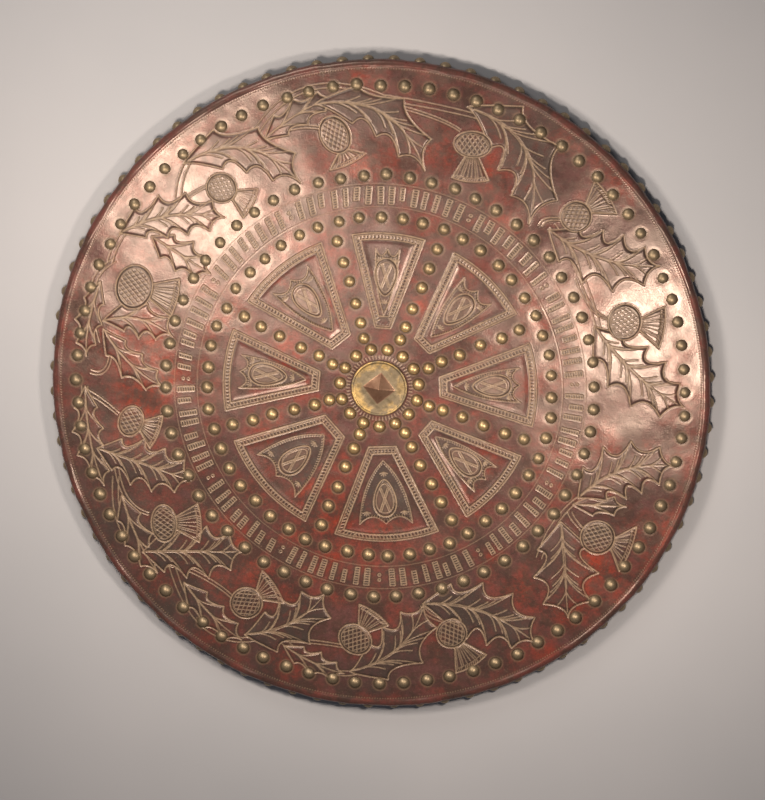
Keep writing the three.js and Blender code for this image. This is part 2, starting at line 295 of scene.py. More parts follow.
def rolling(wavelength, height):
    # Soft random waves all over a sheet, about so long and so high
    grain = np.random.default_rng(int(wavelength * 10)).standard_normal((sheet["count"],) * 2)
    waves = softened(grain, wavelength / 5)
    return waves / waves.std() * height


tools = {  # half width of the mark, its depth, and how worn and pale it is
    "outline": {"half": 0.66, "depth": 0.55, "worn": 1.0},
    "vein": {"half": 0.54, "depth": 0.4, "worn": 0.9},
    "frame": {"half": 0.64, "depth": 0.45, "worn": 1.0},
    "hatch": {"half": 0.48, "depth": 0.3, "worn": 0.8},
    "letter": {"half": 0.48, "depth": 0.3, "worn": 1.0},
    "bead": {"half": 0.52, "depth": 0.3, "worn": 0.85},
    "fine": {"half": 0.42, "depth": 0.15, "worn": 0.45},
}
strokes = {name: [] for name in tools}
pits = []  # the middles of the dark holes in the pricked frames
pit = {"half": 0.75, "depth": 0.3, "darkHalf": 1.0}
seat = {"halo": 6.5, "dip": 6.6, "dipDepth": 0.16, "nailShade": 5.7}  # radii round each nail, one of them for a ring of painted shade, and how deep it sits
lipPast, lipShare = 0.8, 0.3  # how far the leather stands up beside a stroke, and how high
raised, dyed, pale = blankSheet(), blankSheet(), blankSheet()


def draw(tool, line):
    strokes[tool].append(np.asarray(line, float))


def bend(start, control, end, count=16):
    t = np.linspace(0, 1, count)[:, None]
    return (1 - t) ** 2 * start + 2 * t * (1 - t) * control + t * t * end


def passing(start, middle, end, count=16):
    return bend(start, 2 * middle - (start + end) / 2, end, count)


def swell(outline, height, shoulder, dye=0.0, whiten=0.0, edge=0.5):
    # Raises and dyes the leather inside an outline
    window, depth = insideDepth(outline)
    raised[window] = np.maximum(raised[window], height * smoothStep(depth / shoulder))
    inside = smoothStep((depth + edge) / (2 * edge))
    dyed[window] = dyed[window] * (1 - inside) + dye * inside
    pale[window] = pale[window] * (1 - inside) + whiten * inside


def cover(outline):
    # Hides what was drawn before where a new shape lies over it
    (rows, columns), depth = insideDepth(outline)
    low = sheetLine[[columns.start, rows.start]]
    high = sheetLine[[columns.stop - 1, rows.stop - 1]]
    for name, lines in strokes.items():
        kept = []
        for line in lines:
            if (line.max(0) < low).any() or (line.min(0) > high).any():
                kept.append(line)
                continue
            line = spaced(line, 0.4)
            near = ((line > low) & (line < high)).all(1)
            hidden = np.zeros(len(line), bool)
            column, row = sheetIndex(line[near]).T
            hidden[near] = depth[row - rows.start, column - columns.start] > 0.1
            runs = np.split(np.arange(len(line)), np.nonzero(np.diff(hidden))[0] + 1)
            kept += [line[run] for run in runs if len(run) > 2 and not hidden[run[0]]]
        strokes[name] = kept


# Ornament round the border
thistles = [  # middle and size of the bulb, end of the tuft and half its spread
    ((350, 0.784), (0.118, 0.09), (352, 0.697), 0.12),
    ((20.5, 0.799), (0.08, 0.114), (23, 0.699), 0.11),
    ((48, 0.797), (0.094, 0.092), (49, 0.903), 0.12),
    ((74, 0.771), (0.1, 0.11), (77, 0.876), 0.13),
    ((124.5, 0.804), (0.104, 0.104), (123, 0.9), 0.15),
    ((164, 0.795), (0.09, 0.094), (162, 0.903), 0.11),
    ((185.5, 0.792), (0.09, 0.106), (181.5, 0.71), 0.11),
    ((211, 0.795), (0.1, 0.096), (207.5, 0.709), 0.12),
    ((236.5, 0.793), (0.078, 0.116), (232, 0.704), 0.12),
    ((261, 0.77), (0.075, 0.096), (257.5, 0.699), 0.11),
    ((291.5, 0.804), (0.112, 0.136), (293, 0.677), 0.12),
    ((321.5, 0.772), (0.092, 0.09), (325, 0.683), 0.1),
]
leaves = [  # base, tip, half width, bow to one side, spikes on each edge, darkness of the dye
    ((17, 0.9), (41.5, 0.68), 0.1, 0.095, 3, 0.8),
    ((347, 0.885), (11.5, 0.68), 0.075, 0.084, 3, 0.75),
    ((46, 0.71), (65.5, 0.929), 0.09, -0.035, 4, 0.5),
    ((73, 0.68), (93, 0.923), 0.094, -0.025, 4, 0.4),
    ((119, 0.69), (104.5, 0.919), 0.088, 0.037, 4, 0.6),
    ((126.5, 0.685), (141, 0.912), 0.1, 0, 3, 0.55),
    ((169, 0.685), (149, 0.92), 0.094, 0.037, 4, 0.85),
    ((186, 0.895), (168.5, 0.682), 0.082, -0.05, 3, 0.75),
    ((208, 0.885), (194.5, 0.664), 0.084, -0.035, 3, 0.8),
    ((234, 0.9), (219, 0.669), 0.09, 0, 4, 0.85),
    ((256.5, 0.89), (242.5, 0.65), 0.078, 0, 4, 0.8),
    ((281, 0.859), (269, 0.659), 0.05, -0.02, 3, 0.4),
    ((300, 0.915), (317.5, 0.697), 0.07, 0.03, 4, 0.35),
    ((318.5, 0.9), (339, 0.668), 0.076, 0.077, 3, 0.6),
    ((282.5, 0.865), (283, 0.648), 0.055, 0.03, 3, 0.35),
    ((303, 0.828), (303.5, 0.618), 0.056, 0, 3, 0.3),
    ((121, 0.685), (115.5, 0.83), 0.036, 0, 2, 0.5),
    ((269, 0.9), (249, 0.905), 0.05, -0.016, 4, 0.5),
    ((246, 0.865), (229, 0.905), 0.048, -0.012, 3, 0.6),
    ((224, 0.865), (208, 0.905), 0.05, -0.012, 3, 0.6),
    ((200, 0.865), (187, 0.905), 0.04, -0.01, 3, 0.55),
    ((290, 0.905), (275, 0.9), 0.042, -0.012, 3, 0.35),
    ((335, 0.83), (351, 0.9), 0.046, 0.012, 3, 0.55),
]
stems = [  # start, middle and end, and half the width in millimetres
    ((332, 0.84), (346, 0.935), (1, 0.886), 2.2),
    ((1, 0.886), (13, 0.878), (22, 0.886), 2.2),
    ((2, 0.866), (11, 0.845), (17, 0.826), 1.2),
    ((334, 0.824), (341, 0.833), (347, 0.812), 1.4),
    ((313, 0.837), (321, 0.902), (329, 0.886), 2.2),
    ((310, 0.835), (316, 0.815), (320, 0.8), 1.2),
    ((294, 0.901), (301, 0.903), (306, 0.862), 2),
    ((278, 0.871), (288, 0.922), (295, 0.889), 2),
    ((272, 0.883), (273, 0.835), (279, 0.83), 1.4),
    ((268, 0.896), (266, 0.85), (263, 0.805), 1.6),
    ((269, 0.902), (258, 0.901), (252, 0.843), 2.4),
    ((252, 0.847), (245, 0.855), (240, 0.817), 1.6),
    ((250, 0.86), (238, 0.914), (228, 0.85), 2.4),
    ((232, 0.876), (222, 0.81), (214, 0.805), 1.6),
    ((228, 0.857), (214, 0.93), (203, 0.845), 2.4),
    ((206, 0.883), (196, 0.83), (188, 0.819), 1.6),
    ((200, 0.854), (190, 0.905), (182, 0.875), 2.4),
    ((169, 0.69), (168, 0.72), (165, 0.75), 1.6),
    ((137, 0.712), (128, 0.675), (119, 0.69), 2.2),
    ((123, 0.69), (124, 0.71), (125, 0.755), 1.8),
    ((46, 0.726), (59, 0.704), (76, 0.69), 2.4),
    ((60, 0.69), (68, 0.69), (72, 0.724), 1.4),
    ((44, 0.7), (44, 0.726), (46, 0.755), 1.4),
]
leather = {"relief": 0.7, "shoulder": 2.2, "hatchGap": 3.2}


def drawLeaf(base, tip, half, bow, spikes, dye):
    start, end = onFace(*base), onFace(*tip)
    along = end - start
    across = np.array([-along[1], along[0]]) / np.hypot(*along)
    control = (start + end) / 2 + across * 2 * bow * board["radius"]

    def midrib(u):
        return (1 - u) ** 2 * start + 2 * u * (1 - u) * control + u * u * end

    def side(u, width):
        # A point beside the midrib, at a share of the leaf's half width there
        run = 2 * (1 - u) * (control - start) + 2 * u * (end - control)
        out = np.array([-run[1], run[0]]) / np.hypot(*run)
        fullness = math.sin(math.pi * (0.05 + u * 0.84)) ** 0.85
        return midrib(u) + out * width * fullness * half * board["radius"]

    parts = spikes + 0.5
    veins = [(0.66, 0.86, 0.95), (0.34, 0.52, 0.62)]
    if half > 0.06:
        veins += [(0.12, 0.4, 0.45), (0.84, 0.42, 0.4)]
    edges, ribs = [], []
    for hand in (-1, 1):
        edge, last = [], start
        for i in range(spikes):
            spike = side((i + 0.95) / parts, hand * rng.uniform(0.93, 1.06))
            edge.append(passing(last, side((i + 0.3) / parts, hand * 0.56), spike))
            last = spike
            for reach, width, shift in veins:
                if i + reach - shift < 0.12:
                    continue
                root = midrib((i + reach - shift) / parts)
                point = side((i + reach + 0.18) / parts, hand * width)
                ribs.append(bend(root, (root + midrib((i + reach + 0.1) / parts)) / 2, point, 8))
        edge.append(passing(last, side((spikes + 0.12) / parts, hand * 0.33), end))
        edges.append(np.concatenate(edge))
    outline = np.concatenate([edges[0], edges[1][::-1]])
    cover(outline)
    for edge in edges:
        draw("outline", edge)
    ribs.append(midrib(np.linspace(0, 0.94, 20)[:, None]))
    ribs.append(np.array([side(share, 0.09 * (1 - share)) for share in np.linspace(0.04, 0.7, 14)]))
    for rib in ribs:
        draw("vein", rib)
    swell(outline, leather["relief"], leather["shoulder"], dye)


def drawThistle(at, size, tuft, spread):
    centre, crown = onFace(*at), onFace(*tuft)
    reach = np.hypot(*(crown - centre))
    along = (crown - centre) / reach
    across = np.array([-along[1], along[0]])
    length, width = (share * board["radius"] for share in size)

    def oval(scale, count=40):
        turn = np.linspace(0, 2 * math.pi, count)[:, None]
        return centre + along * np.cos(turn) * length / 2 * scale + across * np.sin(turn) * width / 2 * scale

    spread *= board["radius"] / 2
    neck = length * 0.47
    corners = [centre + along * reach + across * hand * spread for hand in (-1, 1)]
    sides = [centre + along * neck + across * hand * width * 0.17 for hand in (-1, 1)]
    fan = np.array([*sides, *corners[::-1]])
    cover(fan)
    cover(oval(1)[:-1])
    swell(fan, leather["relief"] * 0.6, leather["shoulder"], 0.55)
    swell(oval(1)[:-1], leather["relief"] * 1.1, leather["shoulder"], 0.8)
    draw("outline", oval(1))
    draw("hatch", oval(0.84))
    for slant in (-1, 1):  # the scales of the bulb, as crossing lines
        lean = math.radians(36) * slant
        run = along * math.cos(lean) + across * math.sin(lean)
        step = -along * math.sin(lean) + across * math.cos(lean)
        for shift in np.arange(-width, width, leather["hatchGap"]):
            line = centre + step * shift + run * np.linspace(-length, length, 120)[:, None]
            inside = (((line - centre) @ along) / length) ** 2 + (((line - centre) @ across) / width) ** 2
            line = line[inside < 0.25 * 0.8**2]
            if len(line) > 2:
                draw("hatch", line)
    for corner, foot in zip(corners, sides):
        draw("outline", [foot, corner])
    top = passing(corners[0], centre + along * (reach + 2), corners[1])
    low = (top - centre) * 0.9 + centre
    draw("outline", top)
    draw("hatch", low[1:-1])
    for share in np.linspace(0.1, 0.9, 8):
        foot = sides[0] * (1 - share) + sides[1] * share
        tip = low[int(share * 15)]
        draw("hatch", [foot * 0.92 + tip * 0.08, tip])
    for share in np.linspace(0.04, 0.96, 13):
        spot = int(share * 15)
        draw("hatch", [top[spot], low[min(15, spot + 1)]])


def drawStem(start, middle, end, halfWidth):
    line = passing(*(onFace(*spot) for spot in (start, middle, end)), count=24)
    run = np.gradient(line, axis=0)
    out = np.stack([-run[:, 1], run[:, 0]], 1) / np.hypot(*run.T)[:, None]
    taper = (halfWidth * np.linspace(1, 0.7, 24))[:, None]
    draw("vein", line + out * taper)
    draw("vein", line - out * taper)


# Panels between the spokes
panels = {
    "outer": 0.478,
    "inner": 0.185,
    "nailBand": 0.094,
    "frame": 0.026,
    "flare": 0.009,  # how much closer the narrow end comes to the spokes
    "ladderGap": 2.7,
    "rise": 0.5,  # of the leather's relief
    "shoulder": 1.7,
    "fieldShoulder": 2.4,
    "dye": 0.4,
    "dyes": [0.65, 0.45, 0.8, 0.95, 0.9, 0.8, 0.75, 0.7],  # clockwise from the first after the top one
}
escutcheon = {
    "top": 0.43,
    "point": 0.225,
    "margin": 0.034,
    "dip": 0.022,
    "belly": 0.42,  # how far up from the point its flanks are set, and how wide they are there
    "flank": 0.68,
    "shoulder": 1.6,
    "tickGap": 2.1,
    "tick": 1.7,
    "leafInset": 0.035,
    "leaf": 3.1,
}
almond = {"top": 0.4, "point": 0.284, "half": 0.035, "rise": 0.6, "shoulder": 1.4, "pale": 0.45, "ring": 0.78}
blades = {"gap": 0.0026, "spread": (0.014, 0.012), "inset": (0.018, 0.026)}  # two that cross on the almond


def drawPanel(middle, sector, dye):
    radius = board["radius"]
    along = np.array([math.sin(middle), math.cos(middle)])
    across = np.array([along[1], -along[0]])

    def place(forward, sideways):
        return along * forward * radius + across * sideways * radius

    def reach(share, inset):
        # Half the angle that the panel spans there: its sides run parallel to the spokes
        return sector - math.asin((panels["nailBand"] / 2 + inset) / share)

    def frameLine(inset):
        outer = panels["outer"] - inset
        meeting = (panels["nailBand"] / 2 + inset) / math.sin(sector)
        inner = max(panels["inner"] + inset, meeting * 1.08)
        wide, narrow = reach(outer, inset), reach(inner, inset - panels["flare"])
        arc = [place(outer * math.cos(t), outer * math.sin(t)) for t in np.linspace(-wide, wide, 20)]
        foot = [place(inner * math.cos(t), inner * math.sin(t)) for t in (narrow, -narrow)]
        return np.array([*arc, *foot, arc[0]])

    frameWidth = panels["frame"]
    swell(frameLine(0)[:-1], leather["relief"] * panels["rise"], panels["shoulder"], panels["dye"])
    window, depth = insideDepth(frameLine(frameWidth)[:-1])
    raised[window] *= 1 - smoothStep(depth / panels["fieldShoulder"])
    dyed[window] *= 1 - smoothStep(depth / 0.6) * 0.85
    for inset in (0.002, frameWidth * 0.8):
        draw("frame", frameLine(inset))
    draw("hatch", frameLine(frameWidth * 0.3))
    rails = [spaced(frameLine(frameWidth * share), panels["ladderGap"]) for share in (0.34, 0.68)]
    for foot in rails[0]:
        tip = rails[1][np.argmin(np.hypot(*(rails[1] - foot).T))]
        if np.hypot(*(tip - foot)) < 4:
            draw("bead", [foot, tip])
    middleRail = spaced(frameLine(frameWidth * 0.51), panels["ladderGap"])
    pits.extend((middleRail[1:] + middleRail[:-1]) / 2)

    corner = reach(escutcheon["top"], frameWidth + escutcheon["margin"])
    halfWidth, top = escutcheon["top"] * math.sin(corner), escutcheon["top"] * math.cos(corner)
    belly = escutcheon["point"] + escutcheon["belly"] * (top - escutcheon["point"])
    tips = [place(top, -halfWidth), place(top, 0), place(top, halfWidth)]
    dips = [place(top - escutcheon["dip"], hand * halfWidth / 2) for hand in (-1, 1)]
    point = place(escutcheon["point"], 0)
    flanks = [place(belly, hand * halfWidth * escutcheon["flank"]) for hand in (-1, 1)]
    rim = [
        passing(tips[0], dips[0], tips[1]),
        passing(tips[1], dips[1], tips[2]),
        passing(tips[2], flanks[1], point),
        passing(point, flanks[0], tips[0]),
    ]
    outline = np.concatenate(rim)
    swell(outline, leather["relief"], escutcheon["shoulder"], dye)
    heart = place((top + escutcheon["point"]) / 2, 0)
    for edge in rim:
        draw("hatch", edge)
        for spot in spaced(edge, escutcheon["tickGap"])[1:-1]:
            inward = (heart - spot) / np.hypot(*(heart - spot))
            draw("bead", [spot, spot + inward * escutcheon["tick"]])

    def petal(scale, count=36):
        turn = np.linspace(0, 2 * math.pi, count)
        middleShare = (almond["top"] + almond["point"]) / 2
        forward = middleShare + (almond["top"] - almond["point"]) / 2 * scale * np.cos(turn)
        side = np.sin(turn) * almond["half"] * scale * (0.95 + 0.28 * np.cos(turn))
        return np.array([place(f, s) for f, s in zip(forward, side)])

    swell(petal(1)[:-1], leather["relief"] + almond["rise"], almond["shoulder"], dye * 0.5, almond["pale"])
    draw("outline", petal(1))
    draw("hatch", petal(almond["ring"]))
    for hand in (-1, 1):
        for shift in (-blades["gap"], blades["gap"]):
            tip = place(almond["top"] - blades["inset"][0], hand * blades["spread"][0] + shift)
            hilt = place(almond["point"] + blades["inset"][1], -hand * blades["spread"][1] + shift)
            draw("letter", [tip, hilt])
    leafHeight = top - escutcheon["leafInset"]  # a small leaf in each corner
    side = halfWidth * 0.72
    for spot in ((leafHeight, -side), (leafHeight, side), (escutcheon["point"] + 0.04, 0)):
        heel = place(*spot)
        for fan in (-70, -35, 0, 35, 70):
            lean = math.radians(fan)
            blade = (along * math.cos(lean) + across * math.sin(lean)) * escutcheon["leaf"]
            draw("letter", [heel - along, heel - along + blade])


# The inscribed band: rows of plain upright strokes
band = {
    "inner": 0.556,
    "outer": 0.626,
    "foot": 144,
    "head": 157.4,
    "count": 106,
    "rest": 9,  # every ninth place holds two small lozenges, which part the groups
    "lean": 0.4,
    "wander": 0.12,
    "feet": [0, 0, 0, 3.5],  # some strokes are this much shorter at the foot
    "halves": [0.55, 0.65, 0.75],  # half widths in degrees
    "rungGap": 1.9,
    "strokeDye": 0.75,
    "dye": 0.3,
    "dyeEdge": 90,
}


def ringLine(radius, start=0, end=360):
    turn = np.radians(np.linspace(start, end, max(8, int(abs(end - start)))))
    return np.stack([np.sin(turn), np.cos(turn)], 1) * radius


def drawBand():
    for share in (band["inner"], band["outer"]):
        draw("fine", ringLine(share * board["radius"]))
    step = 360 / band["count"]
    lean = 0
    for i in range(band["count"]):
        middle = (i + rng.uniform(-band["wander"], band["wander"])) * step
        if i % band["rest"] == band["rest"] - 1:
            lean = rng.uniform(-band["lean"], band["lean"])
            for share in (0.35, 0.65):
                radius = band["foot"] + (band["head"] - band["foot"]) * share
                draw("letter", ringLine(1.1)[::45] + onFace(middle, radius / board["radius"]))
            continue
        foot = band["foot"] + rng.choice(band["feet"])
        half = rng.choice(band["halves"])
        edges = []
        for hand in (-1, 1):
            spots = ((middle - lean + hand * half, foot), (middle + lean + hand * half, band["head"]))
            edges.append(spaced([onFace(angle, r / board["radius"]) for angle, r in spots], band["rungGap"]))
            draw("letter", edges[-1])
        for rung in zip(*edges):
            draw("letter", rung)
        swell(np.array([edges[0][0], edges[0][-1], edges[1][-1], edges[1][0]]), 0, 1, band["strokeDye"])


# Where each nail of the face stands, a little out of true
def nailSpots():
    spots = []
    for ring in nails["rings"]:
        angles = (np.arange(ring["count"]) + ring["phase"]) / ring["count"] * 360
        spots += [onFace(angle, ring["share"]) for angle in angles]
    for angle in nails["spokes"]:
        spots += [onFace(angle, share) for share in nails["spokeShares"]]
    spots = np.array(spots)
    return spots + rng.uniform(-1, 1, spots.shape) * nails["wander"]


faceNails = nailSpots()
bossShare = nails["bossRadius"] / board["radius"]
bossAngles = (np.arange(nails["bossCount"]) + 0.5) / nails["bossCount"] * 360
bossNails = np.array([onFace(angle, bossShare) for angle in bossAngles])

for stem in stems:
    drawStem(*stem)
for leaf in sorted(leaves, key=lambda leaf: leaf[2]):  # small ones first, so that large ones cover them
    drawLeaf(*leaf)
for thistle in thistles:
    drawThistle(*thistle)
for i, angle in enumerate(nails["spokes"]):
    turn = (nails["spokes"][(i + 1) % 8] - angle) % 360
    drawPanel(math.radians(angle + turn / 2), math.radians(turn / 2), panels["dyes"][i])
drawBand()
away = np.hypot(*np.meshgrid(sheetLine, sheetLine)) / board["radius"]
away = np.minimum(away - band["inner"], band["outer"] - away)
dyed = np.maximum(dyed, band["dye"] * smoothStep(away * band["dyeEdge"]))
stitchRing = {"radius": 248.6, "gap": 2.05, "turn": 0.06}
collar = {"inner": 23.2, "outer": 25.6, "step": 6}  # short marks in the leather round the plate
for angle in np.arange(0, 360, math.degrees(stitchRing["gap"] / stitchRing["radius"])):
    draw("bead", ringLine(stitchRing["radius"], angle, angle + stitchRing["turn"])[:2])
for angle in np.arange(0, 360, collar["step"]):
    draw("hatch", [onFace(angle, collar[edge] / board["radius"]) for edge in ("inner", "outer")])
print("ornament drawn:", {name: len(lines) for name, lines in strokes.items()})

# Strokes pressed into the sheets
groove, lip, worn = blankSheet(), blankSheet(), blankSheet()
for name, tool in tools.items():
    if strokes[name]:
        points = np.concatenate([spaced(line, 0.25) for line in strokes[name]])
        press(groove, points, tool["half"], tool["depth"])
        press(lip, points, tool["half"] + lipPast, tool["depth"] * lipShare)
        press(worn, points, tool["half"] * 1.05, tool["worn"])
press(groove, np.array(pits), pit["half"], pit["depth"])
press(dyed, np.array(pits), pit["darkHalf"], 1.0)
seats = np.concatenate([faceNails, bossNails])
halo, sunk, nailShade = blankSheet(), blankSheet(), blankSheet()
press(halo, seats, seat["halo"], 1.0)
press(sunk, seats, seat["dip"], seat["dipDepth"])
press(nailShade, seats, seat["nailShade"], 1.0)
halo = smoothStep(halo * 2.2)
nailShade = smoothStep(nailShade * 3.2)  # painted shade: a thin dark ring close round each nail
# painted shade: a dark edge beside each stroke, joined with the ring round the nails
paintedShade = np.maximum(np.clip(softened(worn, 0.8) * 3.2 - worn * 2, 0, 1), nailShade)
height = raised + lip - groove * 1.2 - sunk + rolling(48, 0.22) + rolling(16, 0.035)
print("leather tooled")

# Mesh of the face: rings of cells, small where the tools have marked the leather and large elsewhere
faceMesh = {
    "rings": [  # inner and outer radius, and how many of the smallest cells go round
        (17, 33, 328),
        (33, 57, 560),
        (57, 95, 936),
        (95, 143, 1400),
        (143, 160, 1720),
        (160, 200, 1968),
        (200, 243, 2392),
        (243, board["faceEdge"], 3000),
    ],
    "pieces": [  # name, first and last ring, and the sector in degrees
        ("panel_leather_right", 0, 3, 0, 180),
        ("panel_leather_left", 0, 3, 180, 360),
        ("inscribed_leather", 4, 4, 0, 360),
        ("border_leather_right", 5, 7, 0, 130),
        ("border_leather_foot", 5, 7, 130, 250),
        ("border_leather_left", 5, 7, 250, 360),
    ],
    "rollStart": 249.4,
    "rollWidth": 1.6,
    "rollHeight": 0.5,
    "middleFade": (19, 8),  # the relief starts here, and rises over this width
    "edgeFade": 1.5,
}


def widened(mask, steps):
    for axis in (0, 1):
        grown = mask.copy()
        for shift in range(1, steps + 1):
            grown |= np.roll(mask, shift, axis) | np.roll(mask, -shift, axis)
        mask = grown
    return mask


def pooled(mask):
    return mask.reshape(mask.shape[0] // 2, 2, mask.shape[1] // 2, 2).any((1, 3))


def spreadRound(mask):
    # A mask and its neighbours, closed round the ring but not across its edges
    grown = mask | np.roll(mask, 1, 0) | np.roll(mask, -1, 0)
    wide = grown.copy()
    wide[:, 1:] |= grown[:, :-1]
    wide[:, :-1] |= grown[:, 1:]
    return wide


def faceHeight(x, y):
    radius = np.hypot(x, y)
    start, width = faceMesh["middleFade"]
    relief = readSheet(height, x, y) * smoothStep((radius - start) / width)
    relief *= smoothStep((board["faceEdge"] - radius) / faceMesh["edgeFade"])
    roll = faceMesh["rollHeight"] * smoothStep((radius - faceMesh["rollStart"]) / faceMesh["rollWidth"])
    return board["thickness"] + domeAt(radius) + relief + roll


def ringCells(inner, outer, columns):
    # Corner points, triangles, and the triangles' places, of one ring
    step = math.pi * (inner + outer) / columns
    rows = max(4, round((outer - inner) / step / 4) * 4)

    def at(column, row):
        turn = column / columns * 2 * math.pi
        radius = inner + (outer - inner) * row / rows
        return radius * np.sin(turn), radius * np.cos(turn)

    column, row = np.meshgrid(np.arange(columns) + 0.5, np.arange(rows) + 0.5, indexing="ij")
    x, y = at(column, row)
    marked = busy[sheetIndex(y), sheetIndex(x)]
    splits = {2: pooled(marked > 1)}
    splits[4] = pooled(spreadRound(splits[2])) | pooled(pooled(marked > 0))
    cells = []
    for size in (1, 2, 4):
        kept = np.ones((columns // size, rows // size), bool)
        if size > 1:
            kept &= ~splits[size]
        if size < 4:
            kept &= splits[2 * size].repeat(2, 0).repeat(2, 1)
        i, j = np.nonzero(kept)
        cells.append((size, i * size, j * size))
    used = np.zeros((columns, rows + 1), bool)
    for size, i, j in cells:
        for di, dj in ((0, 0), (size, 0), (size, size), (0, size)):
            used[(i + di) % columns, j + dj] = True
    number = np.cumsum(used.ravel()).reshape(used.shape) - 1
    gi, gj = np.nonzero(used)
    points = [np.stack(at(gi, gj), 1)]
    total = len(gi)
    faces = []
    for size, i, j in cells:
        square = ((0, 0), (size, 0), (size, size), (0, size))
        corners = [number[(i + di) % columns, j + dj] for di, dj in square]
        if size == 1:
            faces += [np.stack(corners[:3], 1), np.stack([corners[0], corners[2], corners[3]], 1)]
            continue
        half = size // 2
        sides = ((half, 0), (size, half), (half, size), (0, half))
        middles = [((i + di) % columns, j + dj) for di, dj in sides]
        split = np.stack([used[spot] for spot in middles], 1)
        plain = ~split.any(1)
        a, b, c, d = corners
        faces += [np.stack([a, b, c], 1)[plain], np.stack([a, c, d], 1)[plain]]
        fan = np.nonzero(~plain)[0]
        centre = total + np.arange(len(fan))
        total += len(fan)
        points.append(np.stack(at(i[fan] + half, j[fan] + half), 1))
        for k in range(4):
            one, two = corners[k][fan], corners[(k + 1) % 4][fan]
            between = number[middles[k]][fan]
            cut = split[fan, k]
            faces.append(np.stack([centre, one, two], 1)[~cut])
            faces.append(np.stack([centre, one, between], 1)[cut])
            faces.append(np.stack([centre, between, two], 1)[cut])
    return np.concatenate(points), np.concatenate(faces)


busy = (widened(worn > 0, 2) * 2).astype(np.uint8)  # 2 where cells have to be smallest, 1 where middling
busy[(nailShade > 0.02) & (nailShade < 0.95)] = 2
busy[(busy == 0) & (halo > 0)] = 1


def facePieces():
    rings = [ringCells(*ring) for ring in faceMesh["rings"]]
    made = []
    for name, first, last, start, end in faceMesh["pieces"]:
        points, faces, total = [], [], 0
        for spots, triangles in rings[first : last + 1]:
            middle = spots[triangles].mean(1)
            angle = np.degrees(np.arctan2(middle[:, 0], middle[:, 1])) % 360
            triangles = triangles[(angle >= start) & (angle < end)]
            kept, renumbered = np.unique(triangles, return_inverse=True)
            points.append(spots[kept])
            faces.append(renumbered.reshape(triangles.shape) + total)
            total += len(kept)
        x, y = np.concatenate(points).T
        piece = makeMesh(name, np.stack([x, y, faceHeight(x, y)], 1), np.concatenate(faces))
        # one of these layers is painted shade beside the strokes and round the nails
        layers = {"worn": worn, "dyed": dyed, "pale": pale, "halo": halo, "warm": warm, "paintedShade": paintedShade}
        for layer, values in layers.items():
            addAttribute(piece, layer, readSheet(values, x, y))
        made.append(piece)
    return made


# Broad patches where the red dye shows more, or a greyer glaze lies over it
patches = [  # angle, share, reach in millimetres, redness
    (137, 0.9, 26, 1.0), (128, 0.83, 18, 0.9), (150, 0.88, 20, 0.5), (272, 0.7, 26, 1.0),
    (262, 0.75, 20, 0.8), (285, 0.74, 22, 0.6), (205, 0.44, 22, 0.9), (215, 0.69, 20, 0.8),
    (190, 0.57, 26, 0.5), (230, 0.75, 30, 0.6), (350, 0.72, 24, 0.5), (12, 0.76, 26, 0.6),
    (30, 0.76, 16, 0.4), (200, 0.78, 24, 0.4), (180, 0.46, 18, 0.5), (115, 0.83, 18, 0.3),
    (60, 0.86, 28, -0.5), (90, 0.72, 34, -0.4), (40, 0.8, 20, -0.5), (175, 0.9, 30, -0.4),
    (318, 0.33, 18, 0.8), (328, 0.48, 14, 0.5), (275, 0.3, 20, 0.5), (300, 0.8, 34, -0.2),
    (240, 0.92, 24, -0.3), (95, 0.45, 30, -0.3), (160, 0.62, 20, -0.3),
]
rimDarkening = [  # angle, share, reach in millimetres, darkness
    (222, 0.92, 46, 0.8), (243, 0.92, 42, 0.8), (203, 0.94, 36, 0.55), (182, 0.94, 32, 0.45),
    (262, 0.93, 30, 0.55), (160, 0.6, 34, 0.3), (62, 0.95, 32, 0.4), (30, 0.95, 28, 0.35),
    (345, 0.95, 26, 0.25), (232, 0.6, 40, 0.4), (160, 0.95, 30, 0.35), (90, 0.55, 30, 0.25),
]


def blot(angle, share, reach, strength):
    px, py = onFace(angle, share)
    x, y = np.meshgrid(sheetLine - px, sheetLine - py)
    return (strength * np.exp(-(x**2 + y**2) / reach**2)).astype(np.float32)


warm = rolling(36, 0.28) + rolling(11, 0.12)
for patch in patches:
    warm += blot(*patch)
for darkSpot in rimDarkening:  # the border is darker near the rim, most of all at the foot
    dyed = np.maximum(dyed, blot(*darkSpot))
facePieceList = facePieces()
print("face:", {piece.name: len(piece.data.polygons) for piece in facePieceList})


# Rolled rim, and the plain hide behind
rim = {
    "sides": 720,
    "profile": [  # radius and height before the dish is bent
        (251.5, 14.5), (252.7, 14.35), (253.8, 13.9), (254.7, 13.1), (255.2, 12.1), (255.4, 10.9),
        (255.2, 9.2), (254.9, 7.2), (254.6, 5.4), (254.2, 4), (253.6, 2.8), (252.6, 1.6), (251.4, 0.7),
        (250, 0), (247.5, 0), (244.5, 0), (242, 0), (238, 0), (234, 0), (230.5, 0), (228, 0.1),
    ],
    "lap": 227,  # the leather is turned over on to the back as far as this
    "lapWander": 2.2,
}
hide = {"rings": 60, "sides": 360, "wave": 0.12}


def lathe(radii, heights, sides, closeCentre=False):
    # radii and heights hold one row for each ring and one column for each side
    turn = turns(sides)
    points = np.stack([radii * np.sin(turn), radii * np.cos(turn), heights], 2).reshape(-1, 3)
    i, j = np.meshgrid(np.arange(len(radii) - 1), np.arange(sides), indexing="ij")
    i, j = i.ravel(), j.ravel()
    k = (j + 1) % sides
    faces = np.stack([i * sides + j, i * sides + k, (i + 1) * sides + k, (i + 1) * sides + j], 1).tolist()
    if closeCentre:
        points = np.concatenate([points, [[0, 0, heights[-1].mean()]]])
        last = (len(radii) - 1) * sides
        faces += [[last + a, last + (a + 1) % sides, len(points) - 1] for a in range(sides)]
    return points, faces


